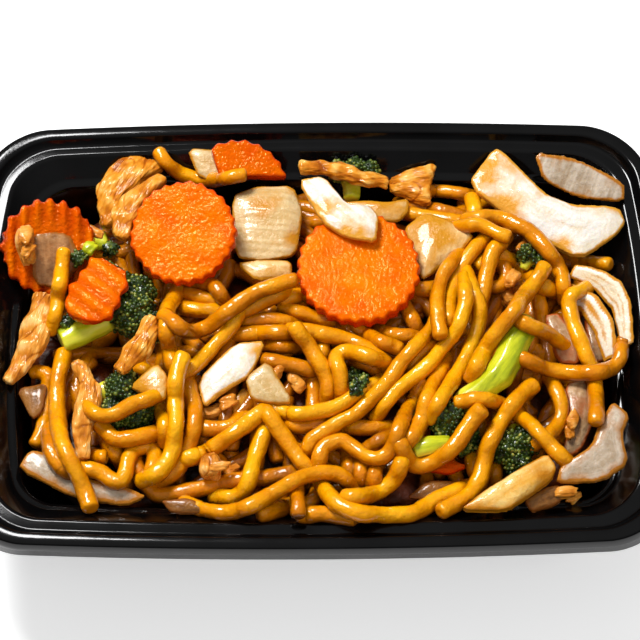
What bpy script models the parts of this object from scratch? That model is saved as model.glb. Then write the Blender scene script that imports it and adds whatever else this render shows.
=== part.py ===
"""Noodle takeaway box: a black tray filled with stir-fried noodles, onion, carrot, broccoli and chicken.

Sizes are in millimetres and angles in degrees. The origin is under the middle of the tray, on the table:
X runs along the tray's length, Y across it to the back, Z up. One function makes each kind of piece.
"""

import math

import bmesh
import bpy
import numpy as np
from mathutils import Matrix, Vector
from mathutils.bvhtree import BVHTree

MM = 0.001

# Tray: half sizes at the flange's outer edge, before the sides' gentle outward bow.
HALF_LENGTH = 106.9
HALF_WIDTH = 73.8
LONG_SIDE_BOW = 2.9
SHORT_SIDE_BOW = 5.3
CORNER_RADIUS = 19.0
CORNER_SHRINK = 0.55
SMALLEST_CORNER = 6.0
# The section from the skirt's lower edge over the rim and down to the floor: distance inwards, height.
UPPER_SECTION = (
    (-0.95, 39.0), (0.0, 44.4), (0.5, 45.0), (3.5, 45.0), (4.0, 44.6), (5.6, 42.0), (8.9, 42.7), (9.5, 42.3),
    (15.0, 36.2), (16.9, 35.8), (17.3, 35.0), (20.3, 5.0), (21.4, 2.0), (24.0, 1.0),
)
LOWER_SECTION = (
    (0.05, 39.0), (0.95, 44.0), (3.3, 44.0), (4.9, 41.2), (5.5, 40.9), (8.8, 41.6), (14.3, 35.4), (16.0, 34.9),
    (16.3, 34.4), (19.3, 4.8), (20.6, 1.0), (23.5, 0.0),
)

# Noodle heap: the core under the noodles that show.
CORE_CORNER_RADIUS = 30.0
CORE_SECTION = ((24.2, 1.5), (21.6, 5.5), (19.6, 26.0), (18.6, 31.0))
CORE_EDGE_HEIGHT = 34.0
CORE_MIDDLE_HEIGHT = 42.0
CORE_TOP_RINGS = (0.94, 0.85, 0.74, 0.62, 0.5, 0.36, 0.22, 0.1)
# Hollows in the heap that larger pieces lie in: place, reach, depth.
CORE_HOLLOWS = (
    (-59.0, 10.0, 17.0, 13.0), (-86.0, 24.0, 14.0, 5.0), (-60.0, -24.0, 11.0, 8.0), (41.0, -35.0, 9.0, 7.0),
    (62.0, -40.0, 9.0, 7.0), (13.0, 58.0, 9.0, 5.0), (-20.0, 40.0, 20.0, 2.5),
)
NOODLE_RADIUS = 2.4
NOODLE_SIDES = 5
NOODLE_STEP = 7.5
SHORTEST_NOODLE = 2
# How far a crossing noodle is lifted, as a share of its radius, above the one below.
CROSSING_LIFT = 0.7
# The least height over the bare heap for each layer of noodles, lowest layer first.
LAYER_HEIGHTS = (-3.0, -1.8, -0.8, 0.2, 1.2, 2.2, 3.0, 3.8, 4.6)
BED_BELOW_CORE = 2.4
TUCK_DEPTH = 3.5
TUCK_PIXELS = 15.0
GRID_CELL = 1.2
GRID_HALF = (108.0, 76.0)

# The view in which the noodles were traced: a point on a sight line is found from its height.
VIEW_ELEVATION = math.radians(61.24)
VIEW_TURN = math.radians(1.33)
VIEW_ROLL = math.radians(1.57)
VIEW_DISTANCE = 721.27
AIM_HEIGHT = 45.0
VIEW_CENTRE = (314.91, 324.24)
FOCAL_PIXELS = 2285.25

# Each noodle: its layer, how its ends finish (c for cut, u for tucked under), whether it lies on the pieces
# that it crosses, and its centre line in pixels of the view.
NOODLE_ROUTES = {
    "left_arm": (3, "uc", False, ((62, 362), (58, 380), (57, 400), (58, 420), (61, 440), (70, 460), (80,
        480), (88, 500), (91, 510))),
    "left_back_arm": (1, "uu", False, ((20, 378), (35, 372), (49, 377), (47, 390), (46, 405), (44, 422),
        (40, 435), (34, 447))),
    "left_wave": (2, "uu", False, ((84, 469), (97, 471), (107, 477), (115, 482), (122, 480), (126, 470),
        (128, 460), (134, 450), (143, 447), (150, 448), (155, 456), (153, 468), (150, 476))),
    "left_pillar": (5, "uu", True, ((186, 352), (178, 370), (175, 390), (175.5, 410), (176, 425), (174,
        440), (172, 452), (166, 464), (157, 474), (150, 477))),
    "front_left_sweep": (2, "uu", False, ((137, 464), (141, 476), (149, 487), (160, 494.5), (180, 493.5),
        (200, 489), (220, 484), (240, 480), (262, 479), (280, 476), (297, 471))),
    "left_pillar_twin": (4, "uu", False, ((188, 380), (190, 392), (195, 410), (194, 428), (190, 442), (184,
        458), (176, 470), (165, 478))),
    "left_cross": (2, "uu", False, ((91, 405), (95, 414), (107, 416), (118, 413), (131, 405), (143, 401),
        (150, 398))),
    "back_left_curve": (3, "uc", False, ((158, 150), (164, 160), (176, 171), (190, 177), (205, 179.5), (222,
        179), (236, 176), (247, 175))),
    "shallow_wave": (5, "uc", True, ((173, 322), (187, 332), (200, 330), (209, 326), (223, 315), (237, 305),
        (255, 293), (271, 287), (289, 281), (298, 279))),
    "over_white_onion": (4, "uu", True, ((237, 317), (230, 330), (218, 342), (206, 355), (195, 366), (187,
        371))),
    "under_carrot_a": (3, "uu", False, ((245, 311), (258, 304), (270, 298), (282, 293))),
    "under_carrot_c": (2, "uu", False, ((292, 310), (303, 313), (313, 317), (335, 322))),
    "middle_band_a": (2, "uu", False, ((240, 322), (258, 320), (275, 320), (290, 323))),
    "middle_band_b": (2, "uu", False, ((238, 335), (258, 333), (275, 332.5), (289, 333))),
    "middle_diagonal": (3, "uu", False, ((300, 331), (312, 332), (334, 336.5), (351, 341), (366, 348.5),
        (379, 358), (387, 366))),
    "middle_fall": (5, "uu", False, ((292, 325), (304, 339), (314.5, 355.5), (324, 371), (328, 383), (327,
        396), (322, 408))),
    "middle_arch": (4, "uu", False, ((342, 395), (341, 382), (339, 370), (336, 360), (341, 353), (352, 352),
        (364, 355), (376, 359))),
    "middle_cut": (4, "uc", False, ((352, 325), (360, 330), (375, 339), (391, 346), (403, 351))),
    "long_left_diagonal": (5, "uu", False, ((307, 452), (312, 440), (325, 431), (340, 422), (355, 414),
        (366, 404), (378, 392), (390, 379), (400, 364), (410, 352), (421, 340), (432, 328), (438, 316))),
    "under_diagonal": (4, "uu", False, ((262, 402), (272, 408), (285, 412.5), (300, 414), (315, 412), (330,
        409), (345, 402), (358, 393), (370, 386), (379, 381))),
    "front_bundle_outer": (5, "uu", False, ((262, 405), (272, 420.5), (285, 439), (297, 456.5), (307,
        468.5))),
    "front_bundle_cross": (4, "uu", False, ((268, 406), (258, 415), (244, 426), (223, 441), (206, 452),
        (192, 457))),
    "front_bundle_inner": (3, "uu", False, ((200, 428), (215, 429), (230, 427), (240, 421))),
    "front_bundle_fall": (4, "uu", False, ((266, 428), (261, 440), (256, 455), (252, 468), (248.5, 482),
        (243, 492), (232, 498), (223, 497))),
    "front_lip": (6, "uu", False, ((190, 505), (203, 510), (218, 513), (235, 511), (250, 506), (262, 500),
        (275, 492), (290, 483), (303, 477), (318, 473), (330, 473), (341, 476), (350, 484), (353, 493))),
    "front_edge": (4, "uu", True, ((323, 487), (331, 498), (342, 507), (358, 513), (375, 514.5), (395, 515),
        (410, 514), (422, 509), (433, 502), (445, 496), (460, 490))),
    "front_loop": (7, "uu", False, ((336, 492), (345, 495), (358, 496), (370, 495), (382, 490), (392, 482),
        (399, 470), (403, 457), (403, 445))),
    "front_hook": (8, "uu", False, ((318, 475), (319, 460), (321, 452), (327, 445), (342, 441), (355, 449),
        (366, 456), (376, 459), (385, 456), (393, 446), (399, 429), (405.5, 414.5), (413, 401), (418,
        390))),
    "long_right_diagonal": (6, "uu", False, ((381, 411), (393, 394), (409, 381), (427, 366), (438, 353),
        (448, 341), (457, 329), (463, 312), (466, 300), (465, 288))),
    "short_top": (7, "uc", True, ((453, 261), (446, 270), (440, 283), (437, 300), (438, 319), (441, 339))),
    "second_top": (5, "uu", True, ((449, 326), (450, 300), (455, 283), (463, 265), (475, 248), (488, 236))),
    "end_on_blob": (3, "uc", False, ((488, 258), (480, 266), (476, 270))),
    "third_top": (5, "uu", True, ((502, 241), (492, 254), (487, 271), (484, 287), (481, 300), (479, 312))),
    "right_cross": (3, "uu", False, ((500, 255), (517, 264), (529, 275), (541, 286), (553, 291), (568,
        300))),
    "back_band_a": (2, "uu", False, ((408, 205), (430, 209), (450, 213), (472, 219))),
    "right_top_bow": (6, "uu", True, ((456, 228), (466, 225), (478, 224), (490, 229), (501, 235), (511,
        238))),
    "right_long_bow": (5, "uu", True, ((475, 219), (487, 217), (503, 219), (517, 225), (529, 231), (539,
        241), (550, 254), (557, 264), (561, 272))),
    "short_by_onion": (3, "uu", False, ((470, 200), (474, 208), (476, 218))),
    "right_diagonal": (6, "cu", True, ((546, 264), (538, 278), (530, 289), (521, 300), (512, 314), (500,
        328), (490, 342), (482, 356), (476, 368), (468, 380))),
    "yellow_curve": (5, "uu", True, ((468, 278), (473, 292), (479, 304), (480, 318), (474, 339), (464, 362),
        (452, 382), (442, 397), (434, 411))),
    "yellow_left": (4, "uu", True, ((442, 368), (434, 384), (427, 400), (422, 418), (414, 434), (406,
        444))),
    "right_arch": (4, "uu", True, ((594, 293), (583, 291), (573, 294), (569, 303), (571, 316), (576, 331),
        (583, 347), (589, 362))),
    "right_hoop": (6, "uu", True, ((527, 362), (541, 367), (557, 371), (575, 373), (595, 372.5), (610, 369),
        (619, 361), (621, 350), (619, 338))),
    "hanging_end": (4, "uc", True, ((594, 376), (596, 400), (596, 425))),
    "right_inner_hook": (5, "uu", True, ((553, 384), (559, 397), (562, 411), (558, 424), (549, 435), (540,
        441))),
    "right_blob": (3, "uc", False, ((569, 398), (571, 414), (568, 428), (565, 447))),
    "above_stem": (4, "uu", True, ((519, 321), (532, 327), (546, 333), (561, 343))),
    "front_right_long": (8, "cu", True, ((536.5, 383), (521, 395), (507, 412), (496, 430.5), (487, 449),
        (483, 466), (479, 481), (468, 496), (451, 506), (434, 516))),
    "across_stem": (6, "uu", True, ((454, 405), (466, 401), (478, 399), (492, 401), (505, 407), (518, 415),
        (530, 424), (542, 436), (555, 450), (562, 457))),
    "front_right_bow": (7, "cu", True, ((484, 407), (475, 417), (466, 430), (457, 443), (446, 454), (433,
        462), (420, 466), (409, 462), (404, 452))),
    "dark_upright_a": (3, "uu", False, ((480, 423), (476, 442), (473, 462), (478, 478))),
    "dark_upright_b": (3, "uu", False, ((490, 440), (494, 460), (495, 480))),
}

CLEARANCE = 0.45

COLOURS = {
    "tray_black": ("0B0B0C", 0.22),
    "noodle": ("E39A12", 0.3),
    "carrot": ("F2660F", 0.35),
    "onion": ("E9DEC6", 0.3),
    "onion_sauced": ("E0B868", 0.3),
    "chicken": ("D89A5C", 0.45),
    "broccoli": ("4C6B22", 0.55),
}


def material(slot):
    """One plain material per slot, with its colour from the table above."""
    if slot in bpy.data.materials:
        return bpy.data.materials[slot]
    code, roughness = COLOURS[slot]
    parts = [int(code[k : k + 2], 16) / 255 for k in (0, 2, 4)]
    linear = [c / 12.92 if c <= 0.04045 else ((c + 0.055) / 1.055) ** 2.4 for c in parts]
    made = bpy.data.materials.new(slot)
    made.use_nodes = True
    shader = made.node_tree.nodes["Principled BSDF"]
    shader.inputs["Base Color"].default_value = (*linear, 1.0)
    shader.inputs["Roughness"].default_value = roughness
    shader.inputs["Metallic"].default_value = 0.0
    return made


def add(name, points, faces, slot, smooth=True):
    """Makes a named object from points in millimetres, with its faces pointing outwards."""
    mesh = bpy.data.meshes.new(name)
    mesh.from_pydata([tuple(c * MM for c in p) for p in points], [], faces)
    work = bmesh.new()
    work.from_mesh(mesh)
    bmesh.ops.remove_doubles(work, verts=work.verts, dist=1e-6)
    bmesh.ops.recalc_face_normals(work, faces=work.faces)
    if work.calc_volume(signed=True) < 0:
        bmesh.ops.reverse_faces(work, faces=work.faces)
    work.to_mesh(mesh)
    work.free()
    mesh.polygons.foreach_set("use_smooth", [smooth] * len(mesh.polygons))
    made = bpy.data.objects.new(name, mesh)
    bpy.context.scene.collection.objects.link(made)
    made.data.materials.append(material(slot))
    return made


def bridge(faces, first, second, count):
    """Adds the quads between two closed rings whose points start at the given numbers."""
    for k in range(count):
        n = (k + 1) % count
        faces.append((first + k, first + n, second + n, second + k))


def contour(inset, corner=None, arc_steps=5, side_steps=6):
    """The tray's bowed, rounded outline at a distance inwards, as points round it."""
    a = HALF_LENGTH - inset
    b = HALF_WIDTH - inset
    r = corner or max(CORNER_RADIUS - CORNER_SHRINK * max(inset, 0.0), SMALLEST_CORNER)
    points = []
    for sx, sy, start in ((1, 1, 0), (-1, 1, 90), (-1, -1, 180), (1, -1, 270)):
        for k in range(arc_steps + 1):
            turn = math.radians(start + 90.0 * k / arc_steps)
            points.append((sx * (a - r) + r * math.cos(turn), sy * (b - r) + r * math.sin(turn)))
        end = points[-1]
        along_x = start in (0, 180)
        length = 2 * (a - r) if along_x else 2 * (b - r)
        steps = side_steps if along_x else side_steps - 2
        for k in range(1, steps):
            move = length * k / steps
            if along_x:
                points.append((end[0] - sx * move, end[1]))
            else:
                points.append((end[0], end[1] - sy * move))
    bowed = []
    for x, y in points:
        out_x = SHORT_SIDE_BOW * (1 - (y / b) ** 2) * x / a
        out_y = LONG_SIDE_BOW * (1 - (x / a) ** 2) * y / b
        bowed.append((x + out_x, y + out_y))
    return bowed


def build_tray():
    """The tray's thin wall: the upper section, the lower section back, and the two floor faces."""
    points, faces, starts = [], [], []
    for inset, height in UPPER_SECTION + LOWER_SECTION[::-1]:
        ring = contour(inset)
        starts.append(len(points))
        points += [(x, y, height) for x, y in ring]
    count = len(ring)
    top_last = len(UPPER_SECTION) - 1
    for k in range(len(starts)):
        if k != top_last:
            bridge(faces, starts[k], starts[(k + 1) % len(starts)], count)
    for ring_number in (top_last, top_last + 1):
        centre = len(points)
        height = points[starts[ring_number]][2]
        points.append((0.0, 0.0, height))
        for k in range(count):
            faces.append((starts[ring_number] + k, starts[ring_number] + (k + 1) % count, centre))
    return add("tray", points, faces, "tray_black")


def core_height(x, y):
    """The height of the bare heap under a point: low along the walls, highest in the middle."""
    fx = min(abs(x) / (HALF_LENGTH - 14.0), 1.0)
    fy = min(abs(y) / (HALF_WIDTH - 14.0), 1.0)
    rise = (1 - fx**2.5) * (1 - fy**2.5)
    height = CORE_EDGE_HEIGHT + (CORE_MIDDLE_HEIGHT - CORE_EDGE_HEIGHT) * rise
    for cx, cy, reach, depth in CORE_HOLLOWS:
        height -= depth * math.exp(-((x - cx) ** 2 + (y - cy) ** 2) / reach**2)
    return height


def build_core():
    """The bare heap: up along the tray's wall, then over the top in shrinking rings."""
    points, faces, starts = [], [], []
    for inset, height in CORE_SECTION:
        starts.append(len(points))
        ring = contour(inset, CORE_CORNER_RADIUS)
        points += [(x, y, height) for x, y in ring]
    count = len(ring)
    for share in CORE_TOP_RINGS:
        starts.append(len(points))
        points += [(x * share, y * share, core_height(x * share, y * share)) for x, y in ring]
    for k in range(len(starts) - 1):
        bridge(faces, starts[k], starts[k + 1], count)
    for start, height in ((starts[0], CORE_SECTION[0][1]), (starts[-1], CORE_MIDDLE_HEIGHT)):
        centre = len(points)
        points.append((0.0, 0.0, height))
        for k in range(count):
            faces.append((start + k, start + (k + 1) % count, centre))
    return add("noodle_heap", points, faces, "noodle", smooth=False)


def rounded(outline, keep=0.84):
    """Cuts each corner of an outline once, so that the cut edges aren't sharp."""
    points = []
    for k, here in enumerate(outline):
        after = outline[(k + 1) % len(outline)]
        points.append(tuple(h * keep + a * (1 - keep) for h, a in zip(here, after)))
        points.append(tuple(h * (1 - keep) + a * keep for h, a in zip(here, after)))
    return points


def plate(name, outline, level, slope, dome, thickness, slot):
    """A piece cut from a sheet: outline in plan, height of its middle, rise per mm, bulge, thickness."""
    ring = rounded(outline)
    count = len(ring)
    cx = sum(p[0] for p in ring) / count
    cy = sum(p[1] for p in ring) / count
    points, faces, starts = [], [], []
    # Each ring: share of the outline, height above the middle surface as a share of the thickness.
    for share, lift in ((0.6, -0.5), (1.0, -0.35), (1.0, 0.35), (0.6, 0.5)):
        starts.append(len(points))
        for x, y in ring:
            dx = (x - cx) * share
            dy = (y - cy) * share
            z = level + slope[0] * dx + slope[1] * dy + dome * (1 - share**2) + lift * thickness
            points.append((cx + dx, cy + dy, z))
    for k in range(len(starts) - 1):
        bridge(faces, starts[k], starts[k + 1], count)
    for start, side in ((starts[0], -0.5), (starts[-1], 0.5)):
        centre = len(points)
        points.append((cx, cy, level + dome + side * thickness))
        for k in range(count):
            faces.append((start + k, start + (k + 1) % count, centre))
    return add(name, points, faces, slot)


def smooth_path(knots, step):
    """Points at about equal steps along a smooth curve through the knots."""
    line = [Vector(k) for k in knots]
    line = [line[0] * 2 - line[1]] + line + [line[-1] * 2 - line[-2]]
    path = []
    for k in range(1, len(line) - 2):
        pieces = max(1, round((line[k + 1] - line[k]).length / step))
        for j in range(pieces):
            t = j / pieces
            p0, p1, p2, p3 = line[k - 1], line[k], line[k + 1], line[k + 2]
            bend = (p0 * 2 - p1 * 5 + p2 * 4 - p3) * t**2 + (p1 * 3 - p0 - p2 * 3 + p3) * t**3
            path.append(0.5 * (p1 * 2 + (p2 - p0) * t + bend))
    path.append(line[-2])
    return path


def sweep(knots, sizes, roll, sides, step):
    """A closed body along a path: half width and half thickness at its start, middle and end, and its roll."""
    path = smooth_path(knots, step)
    points, faces = [], []
    for k, here in enumerate(path):
        ahead = (path[min(k + 1, len(path) - 1)] - path[max(k - 1, 0)]).normalized()
        across = ahead.cross(Vector((0, 0, 1))).normalized()
        turn = Matrix.Rotation(math.radians(roll), 3, ahead)
        across = turn @ across
        up = across.cross(ahead)
        t = k / (len(path) - 1)
        if t < 0.5:
            width, thick = [p + (q - p) * t * 2 for p, q in zip(sizes[0], sizes[1])]
        else:
            width, thick = [p + (q - p) * (t * 2 - 1) for p, q in zip(sizes[1], sizes[2])]
        for j in range(sides):
            angle = math.tau * (j + 0.5) / sides
            points.append(here + across * width * math.cos(angle) + up * thick * math.sin(angle))
    for k in range(len(path) - 1):
        bridge(faces, k * sides, (k + 1) * sides, sides)
    for k in (0, len(path) - 1):
        centre = len(points)
        points.append(path[k])
        for j in range(sides):
            faces.append((k * sides + j, k * sides + (j + 1) % sides, centre))
    return points, faces


def strip(name, knots, sizes, roll, slot, sides=8, step=6.0):
    points, faces = sweep(knots, sizes, roll, sides, step)
    return add(name, points, faces, slot)


def cut_off(ring, direction, offset):
    """The part of an outline that lies short of a straight cut."""
    angle = math.radians(direction)
    line = Vector((math.cos(angle), math.sin(angle)))
    kept = []
    for k, point in enumerate(ring):
        here, after = Vector(point), Vector(ring[(k + 1) % len(ring)])
        over_here, over_after = here.dot(line) - offset, after.dot(line) - offset
        if over_here <= 0:
            kept.append(tuple(here))
        if over_here * over_after < 0:
            kept.append(tuple(here.lerp(after, over_here / (over_here - over_after))))
    return kept


def carrot_disc(name, radius, thickness, flutes, place, tilt, cuts=()):
    """A carrot slice with a fluted rim. Each cut, a direction and a distance, takes off what is beyond it."""
    per_flute = 2
    count = flutes * per_flute
    ring = []
    for k in range(count):
        turn = math.tau * k / count
        wave = (1.0, 0.94)[k % per_flute]
        ring.append((radius * wave * math.cos(turn), radius * wave * math.sin(turn)))
    for direction, offset in cuts:
        ring = cut_off(ring, direction, offset)
    count = len(ring)
    points, faces, starts = [], [], []
    for share, side in ((0.96, -0.5), (1.0, -0.42), (1.0, 0.42), (0.96, 0.5)):
        starts.append(len(points))
        points += [(x * share, y * share, side * thickness) for x, y in ring]
    for k in range(len(starts) - 1):
        bridge(faces, starts[k], starts[k + 1], count)
    middle = sum((Vector(p) for p in ring), Vector((0, 0))) / count
    for start, side in ((starts[0], -0.5), (starts[-1], 0.5)):
        centre = len(points)
        points.append((middle.x, middle.y, side * thickness))
        for k in range(count):
            faces.append((start + k, start + (k + 1) % count, centre))
    turn = Matrix.Rotation(math.radians(tilt[0]), 4, "X") @ Matrix.Rotation(math.radians(tilt[1]), 4, "Y")
    place_all = Matrix.Translation(place) @ turn
    return add(name, [place_all @ Vector(p) for p in points], faces, "carrot")


def ball(centre, radius, rings=4, sides=7):
    """A rounded lump as points and faces."""
    points, faces = [], []
    for k in range(1, rings):
        lean = math.pi * k / rings
        for j in range(sides):
            turn = math.tau * (j + 0.5 * (k % 2)) / sides
            flat = math.sin(lean)
            offset = Vector((flat * math.cos(turn), flat * math.sin(turn), math.cos(lean)))
            points.append(Vector(centre) + offset * radius)
    for k in range(rings - 2):
        bridge(faces, k * sides, (k + 1) * sides, sides)
    for start, side in ((0, 1), ((rings - 2) * sides, -1)):
        pole = len(points)
        points.append(Vector(centre) + Vector((0, 0, side * radius)))
        for j in range(sides):
            faces.append((start + j, start + (j + 1) % sides, pole))
    return points, faces


def fuse(main, others):
    """Joins bodies into the main one with one union, then removes the joined objects."""
    group = bpy.data.collections.new(main.name + "_joined")
    bpy.context.scene.collection.children.link(group)
    for piece in others:
        bpy.context.scene.collection.objects.unlink(piece)
        group.objects.link(piece)
    union = main.modifiers.new("union", "BOOLEAN")
    union.operation = "UNION"
    union.operand_type = "COLLECTION"
    union.collection = group
    union.solver = "EXACT"
    union.use_self = True
    bpy.context.view_layer.update()
    shape = main.evaluated_get(bpy.context.evaluated_depsgraph_get())
    mesh = bpy.data.meshes.new_from_object(shape)
    main.modifiers.clear()
    main.data = mesh
    for piece in list(group.objects):
        bpy.data.objects.remove(piece)
    bpy.data.collections.remove(group)
    keep_outer_body(main)


def keep_outer_body(thing):
    """Drops loose scraps and sealed hollows: only the largest shell stays, cleaned of slivers."""
    work = bmesh.new()
    work.from_mesh(thing.data)
    bmesh.ops.dissolve_degenerate(work, edges=work.edges, dist=1e-5)
    bmesh.ops.triangulate(work, faces=work.faces)
    seen, shells = set(), []
    for first in work.verts:
        if first in seen:
            continue
        shell, stack = [], [first]
        seen.add(first)
        while stack:
            vert = stack.pop()
            shell.append(vert)
            for edge in vert.link_edges:
                other = edge.other_vert(vert)
                if other not in seen:
                    seen.add(other)
                    stack.append(other)
        shells.append(shell)
    shells.sort(key=len)
    for shell in shells[:-1]:
        bmesh.ops.delete(work, geom=shell, context="VERTS")
    bmesh.ops.recalc_face_normals(work, faces=work.faces)
    work.to_mesh(thing.data)
    work.free()


def floret(name, stem_knots, stem_sizes, lumps):
    """A broccoli floret: a tapered stem with the crown's lumps fused onto it."""
    stem = strip(name, stem_knots, stem_sizes, 0, "broccoli", sides=7, step=7.0)
    crown = []
    for x, y, z, radius in lumps:
        crown.append(add(name + "_lump", *ball((x, y, z), radius), "broccoli"))
    fuse(stem, crown)
    return stem


def surface(thing):
    """A search tree of a piece's surface, with its points and face middles in millimetres."""
    verts = [thing.matrix_world @ v.co / MM for v in thing.data.vertices]
    faces = [tuple(p.vertices) for p in thing.data.polygons]
    samples = verts + [sum((verts[i] for i in f), Vector()) / len(f) for f in faces]
    return BVHTree.FromPolygons(verts, faces), samples


def shift(thing, dz):
    thing.data.transform(Matrix.Translation((0, 0, dz * MM)))


def settle(thing, placed):
    """Lowers a piece until it lies just clear of what is under it."""
    shift(thing, 60.0)
    tree, samples = surface(thing)
    xs = [p.x for p in samples]
    ys = [p.y for p in samples]
    drop = 1e9
    down, up = Vector((0, 0, -1)), Vector((0, 0, 1))
    for other_tree, other_samples in placed:
        for p in samples:
            hit = other_tree.ray_cast(p, down)
            if hit[0] is not None:
                drop = min(drop, hit[3])
        for p in other_samples:
            if min(xs) < p.x < max(xs) and min(ys) < p.y < max(ys):
                hit = tree.ray_cast(p, up)
                if hit[0] is not None:
                    drop = min(drop, hit[3])
    shift(thing, CLEARANCE - drop)
    for _ in range(40):
        tree, samples = surface(thing)
        gaps = [other.find_nearest(p, 2.0)[3] or 9.0 for other, _ in placed for p in samples]
        near = min(gaps, default=9.0)
        if near > 0.3 and not any(tree.overlap(other) for other, _ in placed):
            break
        shift(thing, 0.2)
    placed.append((tree, samples))


def sight_lines(pixels):
    """The eye's place and the direction of each pixel's sight line."""
    back = np.array((
        math.sin(VIEW_TURN) * math.cos(VIEW_ELEVATION),
        -math.cos(VIEW_TURN) * math.cos(VIEW_ELEVATION),
        math.sin(VIEW_ELEVATION),
    ))
    level = np.array((math.cos(VIEW_TURN), math.sin(VIEW_TURN), 0.0))
    upward = np.cross(back, level)
    right = level * math.cos(VIEW_ROLL) - upward * math.sin(VIEW_ROLL)
    up = level * math.sin(VIEW_ROLL) + upward * math.cos(VIEW_ROLL)
    across = (pixels[:, :1] - VIEW_CENTRE[0]) / FOCAL_PIXELS
    above = (VIEW_CENTRE[1] - pixels[:, 1:]) / FOCAL_PIXELS
    return back * VIEW_DISTANCE + (0.0, 0.0, AIM_HEIGHT), across * right + above * up - back


def even_line(points, step):
    """Points at equal steps along a smooth curve through the given ones."""
    dense = np.array([tuple(p) for p in smooth_path([(x, y, 0.0) for x, y in points], 1.0)])
    lengths = np.linalg.norm(np.diff(dense, axis=0), axis=1)
    reach = np.concatenate(([0.0], np.cumsum(lengths)))
    even = np.linspace(0, reach[-1], max(int(reach[-1] / step), 4) + 1)
    return np.column_stack([np.interp(even, reach, dense[:, k]) for k in (0, 1)])


def grid_cells(x, y):
    """The cells of the height grid that hold some places."""
    cells = []
    for places, half in ((x, GRID_HALF[0]), (y, GRID_HALF[1])):
        number = (np.asarray(places) + half) / GRID_CELL
        cells.append(np.clip(number, 0, int(2 * half / GRID_CELL)).astype(int))
    return tuple(cells)


def height_grids(toppings):
    """The height of the heap, and the tops and undersides of what lies on it, over a grid in plan."""
    shape = [int(2 * half / GRID_CELL) + 1 for half in GRID_HALF]
    pile = np.zeros(shape)
    tops = np.full(shape, -99.0)
    undersides = np.full(shape, 999.0)
    for column in range(shape[0]):
        for row in range(shape[1]):
            x = (column + 0.5) * GRID_CELL - GRID_HALF[0]
            y = (row + 0.5) * GRID_CELL - GRID_HALF[1]
            pile[column, row] = core_height(x, y) - BED_BELOW_CORE
    for thing in toppings:
        tree, samples = surface(thing)
        first = grid_cells(min(p.x for p in samples), min(p.y for p in samples))
        last = grid_cells(max(p.x for p in samples), max(p.y for p in samples))
        for column in range(int(first[0]), int(last[0]) + 1):
            for row in range(int(first[1]), int(last[1]) + 1):
                x = (column + 0.5) * GRID_CELL - GRID_HALF[0]
                y = (row + 0.5) * GRID_CELL - GRID_HALF[1]
                down = tree.ray_cast(Vector((x, y, 90.0)), Vector((0, 0, -1)))
                up = tree.ray_cast(Vector((x, y, -9.0)), Vector((0, 0, 1)))
                if down[0] is not None and up[0] is not None:
                    tops[column, row] = max(tops[column, row], down[0].z)
                    undersides[column, row] = min(undersides[column, row], up[0].z)
    return pile, tops, undersides


def lay(pixels, lowest, over, grids):
    """Lets a noodle down onto what lies there, kept on its sight lines. Returns its points."""
    pile, tops, undersides = grids
    steps = np.arange(-2, 3) * GRID_CELL
    disc_x, disc_y = (part.ravel() for part in np.meshgrid(steps, steps))
    inside = np.hypot(disc_x, disc_y) < NOODLE_RADIUS
    disc_x, disc_y = disc_x[inside], disc_y[inside]
    rise = np.sqrt(NOODLE_RADIUS**2 - disc_x**2 - disc_y**2)
    eye, rays = sight_lines(pixels)
    heights = lowest.copy()
    for _ in range(6):
        reach = (heights - eye[2]) / rays[:, 2]
        plan = eye[:2] + reach[:, None] * rays[:, :2]
        cells = grid_cells(plan[:, :1] + disc_x, plan[:, 1:] + disc_y)
        ground = pile[cells]
        roof = np.full(len(plan), 999.0)
        if over:
            ground = np.maximum(ground, tops[cells] + 2 * CLEARANCE + (1 - CROSSING_LIFT) * rise)
        else:
            roof = (undersides[cells] - rise).min(1) - CLEARANCE
            for k in range(1, len(roof)):
                roof[k] = min(roof[k], roof[k - 1] + 1.1)
            for k in range(len(roof) - 2, -1, -1):
                roof[k] = min(roof[k], roof[k + 1] + 1.1)
        need = np.minimum(np.maximum((ground + CROSSING_LIFT * rise).max(1), lowest), roof)
        heights = need.copy()
        for _ in range(30):
            ends = np.concatenate((heights[:1], heights, heights[-1:]))
            heights = np.minimum(np.maximum((ends[:-2] + ends[1:-1] + ends[2:]) / 3, need), roof)
    np.maximum.at(pile, cells, heights[:, None] + rise)
    return np.column_stack((plan, heights))


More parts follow.
